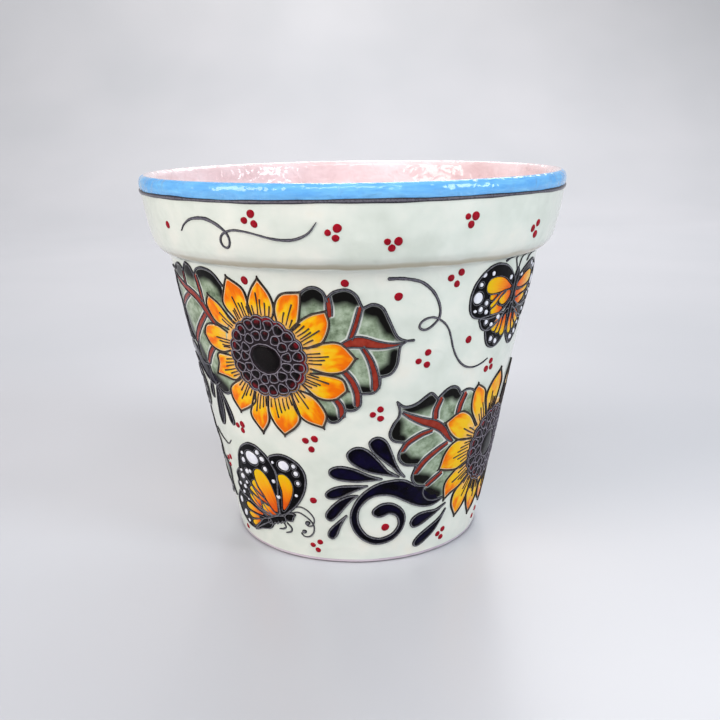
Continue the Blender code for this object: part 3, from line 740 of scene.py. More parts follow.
lowerPetals = [
    [(-11, 21.5), (-16.3, 33), (-13, 41.5), (-3.5, 48.5), (2, 40), (0.5, 31), (-2, 23)],
    [(-20.5, 16.5), (-29.5, 28), (-31, 38.5), (-28, 43.5), (-19.5, 38.5), (-16.5, 30), (-11.5, 21.5)],
    [(-23, 8.5), (-35, 9.7), (-43, 15), (-48.5, 22.2), (-39, 28), (-30, 25), (-21.5, 16)],
    [(-21.5, -5), (-30, -9.7), (-38, -9.6), (-45.7, -7.9), (-43.3, 3.5), (-36, 9.6), (-23, 8)],
    [(-17.5, -17.5), (-25, -22.8), (-32, -26), (-36, -29.5), (-38.3, -18.5), (-32, -10.5), (-21.5, -5.5)],
    [(-11.5, -21), (-13.5, -30), (-17, -38), (-22.5, -43.5), (-28.3, -34), (-27.5, -25.5), (-18.5, -17.5)],
    [(-3, -24), (2, -33), (-0.5, -41), (-6.5, -47), (-12, -38), (-14, -29), (-11, -21.5)],
]
# the far half of the lower flower repeats the near half, turned a little
farTurn = math.radians(8)
lowerPetals = lowerPetals + [[(-x * math.cos(farTurn) - y * math.sin(farTurn),
                               -x * math.sin(farTurn) + y * math.cos(farTurn))
                              for x, y in reversed(petal)] for petal in lowerPetals[1:]]


def layPetal(piles, petal, rise, mark, luck):
    left, right = smoothRun(petal[:4], 1.3), smoothRun(petal[3:], 1.3)
    outline = np.vstack([left, right[1:]])
    petal = np.array(petal, float)
    root, tip = (petal[0] + petal[-1]) / 2, petal[3]
    layEnamel(piles["petals"], outline, rise, 2.0, mark, (root, tip))
    for side in (left, right):
        trailSlip(piles["lines"], side, flowers["petalLine"], foot=0.0, tall=0.95, mark=mark)
    # the slip is flicked off past the tip
    away = tip - (left[-3] + right[2]) / 2
    away /= np.linalg.norm(away)
    flick = [(*(tip + away * t), flowers["petalLine"] * (1 - 0.55 * t / 1.6)) for t in (-0.4, 0.3, 1.0)]
    trailSlip(piles["lines"], flick, foot=0.0, tall=0.9, mark=mark)
    # strokes fan a little from the root towards the belly, each with its own slip of the hand
    axis = petal[[1, 2, 4, 5]].mean(0) - root
    axis /= np.linalg.norm(axis)
    across = np.array([-axis[1], axis[0]])
    base = petal[0] - petal[-1]
    base = base * math.copysign(0.5, base @ across)
    spread = flowers["strokeSpread"]
    count = int(np.clip(round(np.linalg.norm(base) * 2 * spread / flowers["strokeGap"]) + 1, 3, 6))
    longest = luck.integers(1, count - 1)
    inside = outline.mean(0) + (outline - outline.mean(0)) * 0.9
    usual, most = flowers["strokeReach"]
    for k in range(count):
        place = (k - (count - 1) / 2) / ((count - 1) / 2) + luck.uniform(-0.06, 0.06)
        start = root + base * place * spread
        start = start * (flowers["seedRadius"] + luck.uniform(1.0, 1.7)) / np.linalg.norm(start)
        reach = (most if k == longest else usual - 3.0 * abs(place)) + luck.uniform(-0.8, 0.8)
        end = start + axis * reach + across * (place * 0.6 + luck.uniform(-0.25, 0.25))
        bend = across * luck.uniform(-0.25, 0.25)
        t = np.linspace(0, 1, 6)[:, None]
        stroke = start + (end - start) * t + bend * np.sin(t * math.pi)
        while len(stroke) > 2 and not insideOutline(stroke[-1:], inside)[0]:
            stroke = stroke[:-1]
        if len(stroke) > 2 and insideOutline(stroke[2:], inside).all():
            wide = flowers["strokeLine"] * (0.6 + 0.4 * np.linspace(0, 1, len(stroke)))
            trailSlip(piles["lines"], np.column_stack([stroke, wide]), foot=0.2, tall=0.85, mark=mark)
    return outline


def squarish(value):
    return math.copysign(abs(value) ** 0.8, value)


def laySeedHead(piles, seed, luck):
    # a raised plate, netted with slip round two rows of dark cells and a dark eye
    turns = roundTurns(180)
    offset = luck.uniform(0, 0.3)
    scallop = 1.5 * np.abs(np.cos((turns - offset) * flowers["outerCells"][0] / 2)) ** 0.7
    plate = oval(turns, flowers["seedRadius"] - 0.9 + scallop + 0.35 * np.sin(3 * turns + seed))
    flat = layEnamel(piles["seed_plate"], plate, 0.75, 1.9, 0.5, soft=0.7)
    fringe = np.clip(0.5 + 0.8 * np.sin(4 * np.arctan2(flat[:, 1], flat[:, 0]) + seed), 0, 1)
    setRed(piles["seed_plate"], np.clip(np.hypot(*flat.T) - 21.0, 0, 1) * fringe)
    trailSlip(piles["seed_net"], plate, flowers["netLine"], True, 0.4, 1.2, 0.7)
    eye = flowers["eyeRadius"] * (1 + 0.035 * np.sin(2 * turns + 2.4) + 0.015 * np.sin(3 * turns)
                                  + 0.012 * np.sin(11 * turns))
    eyeLine = (oval(turns, eye) * (1, 0.95) - (0, 0.8))[::2]
    layEnamel(piles["seeds"], eyeLine, 1.1, 2.0, 0.1, soft=0.8, dome=0.25)
    trailSlip(piles["seed_net"], growOutline(eyeLine, 0.3), 0.9, True, 0.5, 1.3, 0.2)
    for row in ("innerCells", "outerCells"):
        count, radius, wide, deep, reds = flowers[row]
        first = offset if row == "outerCells" else luck.uniform(0, 0.3)
        for c in range(count):
            turn = (c + luck.uniform(-0.1, 0.1)) * 2 * math.pi / count + first
            centre = radius + luck.uniform(-0.3, 0.3)
            corners = []
            for a in roundTurns(7) + luck.uniform(0, 0.9):
                across = wide * squarish(math.cos(a)) * luck.uniform(0.76, 1.06)
                out = deep * squarish(math.sin(a)) * luck.uniform(0.76, 1.06)
                angle = turn + across / centre * (0.84 if out < 0 else 1.06)
                corners.append(((centre + out) * math.cos(angle), (centre + out) * math.sin(angle)))
            cell = smoothRun(corners, 0.7, True)
            flat = layEnamel(piles["seeds"], cell, 0.98, 2.5, c * 0.13, dome=0.15)
            # some seeds redden towards the petals
            red = luck.choice(reds) * np.clip((np.hypot(*flat.T) - radius + 0.2) / 2.4, 0, 1)
            setRed(piles["seeds"], red)
            trailSlip(piles["seed_net"], growOutline(cell, 0.2), flowers["netLine"], True, 0.5, 1.3, c * 0.13)


def sunflower(petals, seed):
    luck = np.random.default_rng(seed)
    piles = newPiles("petals", "lines", "seed_plate", "seed_net", "seeds")
    bed = oval(roundTurns(72), flowers["seedRadius"] + flowers["bedMargin"])
    layEnamel(piles["petals"], bed, 0.36, 2.4, 0.9)
    outlines = [layPetal(piles, petal, flowers["petalRise"][i % 2], i * 0.37, luck)
                for i, petal in enumerate(petals)]
    laySeedHead(piles, seed, luck)
    return piles, outlines


# places on the wall: degrees from the front, height
upperPlace, lowerPlace = (-27.7, 128.9), (61.8, 62.5)
upperFlower, upperOutlines = sunflower(upperPetals, 3)
lowerFlower, lowerOutlines = sunflower(lowerPetals, 8)
upperFinish = {"petals": warmPetals, "lines": umberSlip, "seed_plate": seedBed, "seed_net": seedSlip,
               "seeds": seedPaint}
lowerFinish = {**upperFinish, "petals": goldPetals}
placeMotifs([
    ("upper_flower", "upper_sunflower", upperFlower, "wall", upperPlace, upperFinish, "petal_enamel"),
    ("lower_flower", "lower_sunflower", lowerFlower, "wall", lowerPlace, lowerFinish, "petal_enamel"),
])
print("sunflowers laid")


leafLook = {
    "rise": 0.24,
    "outline": 1.65,         # widths of the slip beads
    "veinLine": 1.25,
    "veinRise": 0.8,
    "flood": 0.9,            # strength of the black at the lobes' ends
    "floodCore": 0.3,        # share of its reach where it is full
    "floodFade": 1.25,       # share of its reach over which it fades, and millimetres more
    "floodSoft": 1.7,
}
# lobes and under are the outer line's smooth runs, which meet at points, and hidden joins them behind the
# petals; veins carry a width; dark has the flooded ends: the middle line of each and its reach
upperRightLeaf = {
    "lobes": [
        [(-30, 30), (-27, 38), (-21, 41.2), (-16, 39), (-13.5, 34)],
        [(-13.5, 36), (-10, 39), (-4, 40.3), (1, 37.5), (4.5, 30)],
        [(4.5, 30), (10, 32), (15, 29.5), (18.5, 22), (22.5, 13), (27, 10), (31.5, 9.6)],
        [(27, 9.2), (24.3, 7), (23.5, 2), (22.5, -4), (19, -8.7), (13.5, -10)],
        [(13.5, -10), (13, -15), (10, -19), (3, -19.5)],
        [(3, -19.5), (2.5, -26.5), (-1, -29.5), (-5, -29.5)],
        [(-5, -29.5), (-9, -36), (-14, -37), (-17.5, -32)],
    ],
    "hidden": [(-24, -22), (-30, 0), (-32, 16)],
    "veins": [
        [(-9, 7, 2.2), (-4, 9.8, 4), (1, 11, 6), (5, 10.7, 6), (13, 8.8, 4), (20, 8.2, 2), (25, 8.6, 0.8)],
        [(-2, 13, 2.2), (0.5, 20, 2.6), (3.2, 30, 2.4)],
        [(-12.5, 26, 2.6), (-12.7, 31, 3), (-13.2, 36, 2.4)],
        [(4.2, 8, 2), (8.3, 0, 2.8), (10.6, -9, 3.6), (11, -16.5, 4)],
        [(-8, -3, 2.6), (-2, -11, 3.2), (1, -19, 3.4), (1.2, -26, 3)],
        [(-12, -21, 2.6), (-8, -27, 3.2), (-7.4, -33.5, 3)],
    ],
    "dark": [(7.5, 29, 13.5, 27.5, 3), (13.5, 27.5, 18.4, 17.5, 2.7), (18.4, 17.5, 25, 11, 1.5),
             (21.5, 3, 20.5, -4, 2.6), (20.5, -4, 14.5, -8, 2.5), (3, -16.8, 7.5, -17.5, 2),
             (-4, -27.5, -1, -27.5, 2.1), (-15, -34.5, -10.5, -35, 2.1), (-26, 35.5, -21, 38.5, 3.6),
             (-21, 38.5, -16, 36, 3.4), (-9, 36, -4, 37.3, 3.4), (-4, 37.3, 1, 34.5, 3)],
}
upperLeftLeaf = {
    "lobes": [
        [(30, 38), (24, 45), (16, 47.3), (9, 46), (5.5, 42)],
        [(5.5, 42), (2, 47), (-3, 48.3), (-8, 43.5)],
        [(-8, 43.5), (-14, 46.3), (-21, 45), (-26, 41.4), (-33, 42)],
        [(-29, 39.5), (-30.5, 36), (-33.5, 29), (-32.5, 22), (-26, 18)],
        [(-26, 18), (-29, 10), (-26, 2), (-16, -2.5)],
        [(-16, -2.5), (-17, -9), (-12, -13.5), (-4.5, -13.5)],
        [(-4.5, -13.5), (-3, -21), (2, -27), (9, -29), (18, -25)],
    ],
    "hidden": [(26, -8), (30, 14)],
    "veins": [
        [(16, 14, 2.5), (11, 20, 3.8), (6, 26, 4.6), (0, 30, 4.6), (-10, 33, 4), (-20, 36, 3),
         (-27, 38.4, 1)],
        [(8, 27, 2.6), (8, 35, 3), (7, 42, 2.6)],
        [(-9.5, 34.5, 2.4), (-9, 39, 2.6), (-8.5, 43, 2.2)],
        [(-8, 29.5, 2.6), (-17, 25, 3), (-24, 20, 2.6)],
        [(8, 20, 2.8), (-2, 12, 3.4), (-11, 4, 3.6), (-14.8, -1, 3)],
        [(9, 1, 2.8), (2, -5, 3.2), (-3.4, -11.5, 3)],
    ],
    "dark": [(9, 43.5, 15, 44.8, 2.8), (15, 44.8, 21.5, 43.6, 2.7), (21.5, 43.6, 27.5, 38, 2.4),
             (27.5, 38, 28.6, 33, 2), (-3, 44.5, 2, 43.5, 3.6), (-22, 41.5, -15, 42.5, 2.8),
             (-30, 31, -30, 24, 3), (-26, 12, -21, 3, 4), (-13, -4.5, -8.5, -11, 3),
             (1, -22, 9, -26.5, 3.6)],
}
lowerLeftLeaf = {
    "lobes": [
        [(-36.5, 39.5), (-32, 36.6), (-26, 37.8), (-21, 41.4), (-17, 43.8), (-12.5, 40)],
        [(-12.5, 40), (-7.3, 44.6), (-3.3, 45.8), (0.8, 44.3), (3.4, 40.6)],
        [(3.4, 40.6), (8, 41.9), (13, 40.6), (18, 36)],
    ],
    "hidden": [(24, 20), (24, 0), (18, -20)],
    "under": [
        [(5, -26.5), (-4, -27.2), (-10, -25.5), (-13.2, -21), (-13, -16)],
        [(-13, -16), (-18.5, -14.6), (-21.8, -9), (-20, -1.5)],
        [(-20, -1.5), (-28, 0), (-31.8, 6), (-29, 14)],
        [(-29, 14), (-36, 15.5), (-38.5, 20), (-37, 26), (-34.6, 30.5), (-34.6, 34.5), (-36, 38.4)],
    ],
    "veins": [
        [(2.6, 10.2, 0.9), (-1, 13.4, 2.6), (-6, 19.6, 4.2), (-12, 23.8, 5), (-20, 26.8, 4.2),
         (-27, 30, 2.8), (-32.5, 33, 1)],
        [(-13.5, 20.2, 2.2), (-20, 18.4, 2.8), (-27, 14, 2.8), (-30, 9.2, 2.4)],
        [(-1.5, 10, 2.4), (-8, 6.6, 3), (-15, 1.2, 3.2), (-20, -6, 3)],
        [(-2.6, -9.2, 2.4), (-7, -12.2, 2.9), (-11.2, -15.6, 2.6)],
        [(-12.2, 27.6, 3), (-12.6, 33, 3.2), (-10.5, 39.4, 2.8)],
        [(3.5, 28, 3), (4.6, 34, 3.4), (7, 39.4, 3)],
    ],
    "dark": [(-35.5, 26, -35.3, 18.5, 3), (-35.3, 18.5, -31, 16.8, 1.8), (-29, 35.5, -22, 37.5, 3.4),
             (-22, 37.5, -16, 39.5, 3.4), (-7, 42, -2, 43, 3), (-2, 43, 1.5, 40, 2.7),
             (-29, 5, -25.5, 1.8, 2.4), (-25.5, 1.8, -20, 1, 2), (-18.5, -10, -12.5, -11.8, 2.8),
             (-9.5, -20, -3, -24, 2.6)],
}


def leafSpray(shape, petals, flip):
    # lines and veins stop where a petal lies over them
    piles = newPiles("fill", "veins", "lines")
    lobes = [smoothRun(lobe, 1.2) * flip for lobe in shape["lobes"]]
    under = [smoothRun(lobe, 1.2) * flip for lobe in shape.get("under", [])]
    hidden = resample(np.array(shape["hidden"], float) * flip, 2.5)
    outline = np.vstack([lobe[:-1] for lobe in lobes] + [lobes[-1][-1:], hidden]
                        + [lobe[:-1] for lobe in under])
    veins, edges = [], []
    for vein in shape["veins"]:
        vein = smoothRun(vein, 1.0) * (*flip, 1)
        side = pathFrame(vein[:, :2])[1] * vein[:, 2:] / 2
        veins.append(vein)
        edges.append((vein[:, :2] + side, vein[:, :2] - side))
    flat = layEnamel(piles["fill"], outline, leafLook["rise"], 1.5, 0.3,
                     lines=[line for pair in edges for line in pair])
    flood = np.zeros(len(flat))
    for x0, y0, x1, y1, reach in shape["dark"]:
        away = edgeDistance(flat, np.array([(x0, y0), (x1, y1)]) * flip, False)
        away -= reach * leafLook["floodCore"]
        fade = reach * leafLook["floodFade"] + leafLook["floodSoft"]
        flood = np.maximum(flood, 1.1 - np.maximum(away, 0) / fade)
    setRed(piles["fill"], np.clip(flood, 0, 1) * leafLook["flood"])
    for lobe in lobes + under:
        for run in clearRuns(lobe, petals):
            trailSlip(piles["lines"], run, leafLook["outline"], tall=0.78, mark=0.4)
    for n, (vein, pair) in enumerate(zip(veins, edges)):
        # the middle vein, which comes first, lies a little over the others
        for run in clearRuns(vein, petals):
            trailSlip(piles["veins"], run, foot=-0.1, tall=0.42 + 0.04 * (n == 0), mark=n * 0.3, ribbon=True)
        for edge in pair:
            for run in clearRuns(edge, petals):
                trailSlip(piles["lines"], run, leafLook["veinLine"], foot=-0.1, tall=leafLook["veinRise"],
                          mark=n * 0.3)
    return piles


sprayFinish = {"fill": leafPaint, "veins": veinPaint, "lines": leafSlip}
sprays = []
for name, shape, anchor, flip in (("upper_spray_right", upperRightLeaf, (0, 128.9), (1, 1)),
                                  ("upper_spray_left", upperLeftLeaf, (-55, 128.9), (1, 1)),
                                  ("lower_spray_left", lowerLeftLeaf, (35, 63.7), (1, 1)),
                                  ("lower_spray_right", lowerLeftLeaf, (88.6, 63.7), (-1, -1))):
    place, outlines = (upperPlace, upperOutlines) if name.startswith("upper") else (lowerPlace, lowerOutlines)
    piles = leafSpray(shape, [moveFlat(line, place, anchor) for line in outlines], flip)
    sprays.append((name + "_leaf", name, piles, "wall", anchor, sprayFinish, "leaf_enamel"))
placeMotifs(sprays)
print("leaf sprays laid")


scrollLook = {
    "rise": 0.34,
    "outline": 1.6,
    "slim": 0.45,            # how far feathers draw in from their drawn outline
    "slimFrom": 8,           # distance from the tail's tip where that is full
    "hiddenEnd": [(24, 8), (34, 0)],     # the scroll's end, under the leaf
}
scrollOuter = [(37.5, -5.2), (34, -6.8), (30, -7.3), (24, -6), (18, -3), (12, 1), (6, 4.6), (0, 6.2),
               (-6, 5.4), (-11, 1.5), (-14, -4), (-14.2, -11), (-12, -17), (-8, -21.8), (-2, -24),
               (3, -23), (7, -20.5), (9.6, -16), (9.4, -11.5), (7.3, -8.2), (3.6, -6.8), (0, -8.3),
               (-3, -8.6), (-5.5, -6.4), (-5, -3.4), (-1, -0.5), (4, -0.2), (9, -3), (12.6, -8),
               (13.2, -14), (11, -20.3), (6, -25.4), (-1, -27.5), (-8, -26), (-14, -21), (-17.5, -14),
               (-18, -6), (-15, 2.4), (-10, 9), (-3, 13.6), (5, 15), (12, 14), (18, 10)]
# each feather runs from the tip of its tail round its rounded end and back
feathers = [
    [(11.9, 16.6), (9, 21.5), (6.5, 27), (4, 34), (1.2, 40.5), (-2.5, 43.8), (-6.3, 43.8), (-9.2, 40.5),
     (-7.4, 35.4), (-2.5, 30), (4, 24), (8, 19.5)],
    [(8.4, 17.2), (2.4, 22), (-3, 29), (-8.6, 35.2), (-13, 37.8), (-17.6, 37.4), (-21, 34), (-20.6, 30),
     (-16.8, 25.8), (-9.6, 21.8), (0, 19.2)],
    [(-1.4, 16.7), (-8.5, 19.8), (-16, 23.6), (-22.5, 25.2), (-27.6, 24.6), (-31, 21.8), (-30.4, 18.2),
     (-25.6, 15.9), (-16, 15.1), (-8, 15.8)],
    [(-9.5, 12.5), (-17, 12.9), (-24, 12.2), (-29, 10.2), (-32.6, 6.8), (-32.6, 3.8), (-29.6, 2.6),
     (-24.4, 4), (-18, 7.8), (-13.6, 10.4)],
    [(-14.8, 6), (-19.5, 5.7), (-24.6, 3), (-29.6, -2.4), (-32.6, -7.6), (-32.2, -11.2), (-29.4, -12.4),
     (-26, -9.2), (-22, -3.2), (-17.8, 2.8)],
    [(-20.8, -8), (-24.4, -11.4), (-28.6, -16), (-31.2, -20.6), (-30.9, -23.8), (-28.4, -25), (-26, -22.6),
     (-24.4, -17.8), (-22.8, -12.6)],
    [(41, -10), (33.6, -11.4), (27.6, -10.6), (22, -10.8), (18.2, -13), (16.8, -16.6), (18.6, -19.6),
     (22.6, -19.7), (28, -17.4), (34.6, -14)],
    [(41.6, -14.4), (37.6, -18.2), (32, -21.2), (25.4, -24.6), (21, -28), (19.4, -31.4), (20.8, -34),
     (24, -33.6), (28.8, -30.8), (34.4, -26.4), (38.4, -20.8)],
]
# the upper scroll hangs its last feathers straight down instead, and has a curl below them
hangingFeathers = [
    [(32.4, -6), (28.2, -13), (25.2, -20), (23.4, -27), (23.4, -32.4), (26, -34), (29.4, -31), (32.4, -24),
     (33.6, -16)],
    [(35.2, -10.6), (35.6, -17), (36, -24), (37, -29.6), (39.4, -32), (41.4, -29.6), (41.2, -24),
     (39, -17)],
    [(25, -5), (21.6, -8.6), (19.4, -13), (19.8, -17), (22.2, -17.4), (24.4, -13), (25.4, -9)],
]
hangingCurl = [(6, -41), (12, -43.5), (18.6, -45.8), (24, -47.2), (29.2, -44)]


def scrollSet(feathers, curl):
    piles = newPiles("ink", "lines")
    path = smoothRun(scrollOuter, 1.2)
    layEnamel(piles["ink"], np.vstack([path, scrollLook["hiddenEnd"]]), scrollLook["rise"], 1.9, 0.2)
    trailSlip(piles["lines"], path, scrollLook["outline"], mark=0.2)
    for n, feather in enumerate(feathers):
        outline = smoothRun(feather + feather[:1], 1.0)
        tail = np.hypot(*(outline - outline[0]).T) / scrollLook["slimFrom"]
        outline += (growOutline(outline, -scrollLook["slim"]) - outline) * np.clip(tail, 0, 1)[:, None]
        layEnamel(piles["ink"], outline[:-1], scrollLook["rise"], 1.9, n * 0.4)
        trailSlip(piles["lines"], outline, scrollLook["outline"], mark=n * 0.4)
    if curl:
        trailSlip(piles["lines"], smoothRun(curl, 1.0), 1.1, tall=0.6)
    return piles


scrolls = []
for name, shapes, curl, anchor in (
        ("lower_scroll", feathers, (), (10, 40)),
        ("upper_scroll", feathers[1:6] + hangingFeathers, hangingCurl, (-74.5, 110))):
    scrolls.append((name, name, scrollSet(shapes, curl), "wall", anchor,
                    {"ink": inkPaint, "lines": slateSlip}, "black_enamel"))
placeMotifs(scrolls)
print("scrolls laid")


wingLook = {
    "outline": 1.6,          # widths of the slip beads
    "bodyLine": 1.25,
    "cellLine": 0.65,
    "ringLine": 0.8,
    "cellSpread": 0.48,      # cells grow until they nearly touch, narrow ones more
    "narrowCell": 60,        # square millimetres
    "narrowSpread": 1.3,
    "ringGap": 0.75,
    "spotFloor": 0.35,
}
# wings, body parts and cells are closed outlines, and a cell has the points where its yellow starts and its
# orange ends; white spots are centre, size, stretch and lean, and ringed ones have a bead round them;
# lines carry a width; under is black laid below the body, so that no glaze shows between the wings
lowButterfly = {
    "under": [],
    "wings": [
        [(1.5, 18), (5, 21), (11, 22.3), (16, 21), (20.5, 18), (23.4, 13.5), (24.2, 8.5), (23.4, 3.5),
         (21.8, -1), (19, -6), (15, -11), (10, -15.8), (6, -18.5), (3, -19), (3.2, -10), (4.8, 2),
         (5.3, 10)],
        [(2, -19), (2.6, -10), (4.4, 0), (5, 8), (3.2, 14), (0, 19), (-4, 22.6), (-8, 24.6), (-13, 24.8),
         (-18, 22.6), (-23, 18.6), (-26.4, 12.5), (-28, 6), (-28.2, 1.5), (-24, -8), (-14, -18),
         (-4, -21.5)],
        [(-28, 2.2), (-31.5, 0.6), (-34, -3), (-33.4, -7), (-35, -10), (-33.5, -14.5), (-30, -16),
         (-22, -18), (-12, -20.5), (-4, -22), (-8, -18), (-16, -8), (-22, -1)],
        [(-33, -15.2), (-37, -18), (-40, -22.5), (-40.5, -28.5), (-38, -33.8), (-33, -37.6), (-27, -38.4),
         (-22, -37.4), (-16, -33), (-10, -29), (-6, -26), (-8, -23.5), (-18, -19)],
    ],
    "body": [
        [(9.4, -17.2), (13.2, -17.5), (11.8, -19.4), (10.4, -22.2), (7, -22.4), (6, -20.6), (6.8, -18.6)],
        [(5.4, -20), (6.2, -22.3), (4.6, -24.3), (3.4, -23.8), (2, -25.5), (0.4, -24.9), (-1, -26.8),
         (-2.6, -26.1), (-4, -28), (-5.4, -27.3), (-6.8, -28.4), (-7.8, -25.2), (-3, -22.4), (2, -20.4)],
        [(-10.2, -25.6), (-6.2, -24.8), (-4.8, -28), (-7.7, -31.9), (-15, -34.6), (-23.4, -38.6),
         (-17.6, -32.2), (-14, -28.2)],
    ],
    "cells": [
        ([(6, 7.6), (8.6, 9.2), (11.4, 8.8), (14, 6), (15, 1.6), (14, -3), (11.4, -8.6), (8.6, -13),
          (5.4, -16.2), (6, -10.6), (7, -3), (6.2, 3)], (9, 9), (7, -12)),
        ([(-13.6, 4), (-12, 7.4), (-9, 8.8), (-5.8, 7.8), (-2.8, 4.6), (-0.4, -0.4), (1, -6), (1.4, -11.5),
          (0.4, -19), (-2.6, -17.6), (-6, -13), (-9.2, -8), (-12.4, -3)], (-9, 8), (0, -16)),
        ([(-17.4, -4), (-14.4, -0.6), (-11.8, -4.6), (-8, -10), (-11, -9.4)], (-16, -2), (-9, -9)),
        ([(-21, -8.6), (-18.6, -6), (-14, -8), (-8.8, -11.6), (-5.4, -15), (-10.4, -13.6), (-16.4, -11.6)],
         (-19, -8), (-8, -13)),
        ([(-23, -14), (-20.6, -12.2), (-16, -12.8), (-12.6, -14), (-12.4, -18), (-12.8, -20.8),
          (-18, -18.8)], (-21.5, -14), (-13, -18)),
        ([(-11.2, -16), (-9.2, -14.6), (-5.8, -15.6), (-2.6, -18.6), (-0.6, -20.4), (-8, -22.8),
          (-10.8, -20.4)], (-10, -16), (-4, -20.5)),
        ([(-29.4, -22), (-26, -20.2), (-18, -22), (-9.4, -24.4), (-18, -25.4), (-28, -25.4)],
         (-29, -22), (-14, -24)),
        ([(-28.2, -28.4), (-25, -27), (-17, -26.8), (-11.8, -26), (-20, -29.4), (-26, -30.8)],
         (-28, -28.4), (-14, -27)),
        ([(-25.6, -33.4), (-20, -30.6), (-14, -27.8), (-19, -32.4), (-23.8, -36)],
         (-25, -34), (-16, -29.5)),
    ],
    "ringed": [(-12.8, 15.2, 4.3, 1.18, -14), (11.5, 15.4, 3, 1.22, 0), (-7, 20.3, 1.5),
               (-4, 16.6, 1.6, 1.1, 0), (-2.8, 10.2, 1.5), (-21.5, 11.2, 1.7), (-20, 3.8, 1.7),
               (18.7, 11, 1.5), (19, 4.7, 1.2), (-26.3, -1.8, 1.9, 1.1, 20), (18, 15.8, 1.3)],
    "spots": [(2.1, 3.2, 1.3), (3.6, -7, 1.4), (-21.5, 16, 1.1, 1.1, 0), (-16.9, 4.8, 1.2),
              (-26.5, 2.3, 1, 1.1, 30), (-23, -5, 1.1, 1.2, 20), (-26, -9, 1.5, 1.1, 30), (-31.6, -9, 1.2),
              (-29, -14, 1.1, 1.2, 0), (-24.8, -17.6, 0.9, 1.2, 30), (4, 16.3, 0.9), (16.5, -3.8, 1),
              (-35.6, -22.4, 1.6, 1.5, 70), (-33, -30.8, 1.8, 1.6, 60), (-30.2, -35.4, 1.1, 1.2, 0)],
    "lines": [
        [(8.4, -16.6, 0.9), (13, -13, 1), (18, -11.6, 1), (22.6, -14.2, 1), (25, -19, 1), (23.6, -23.4, 1),
         (20.8, -24.4, 1), (19.2, -22.8, 1.1)],
        [(10, -16.8, 0.9), (16, -15.6, 1), (21, -18.6, 1), (24, -23, 1), (23.4, -28.2, 1),
         (20.4, -31.6, 1), (17, -32, 1), (15.4, -30, 1.1)],
        [(6.6, -24.8, 1.4), (9, -27.6, 1.4), (8, -30.4, 1.3), (4.8, -31.6, 1)],
        [(4, -25, 1.3), (5, -27.6, 1.3), (3, -29.4, 1.3), (0, -30.2, 1)],
    ],
    "knobs": [(20.6, -22.2, 1.5), (17.4, -28.6, 1.4)],
}
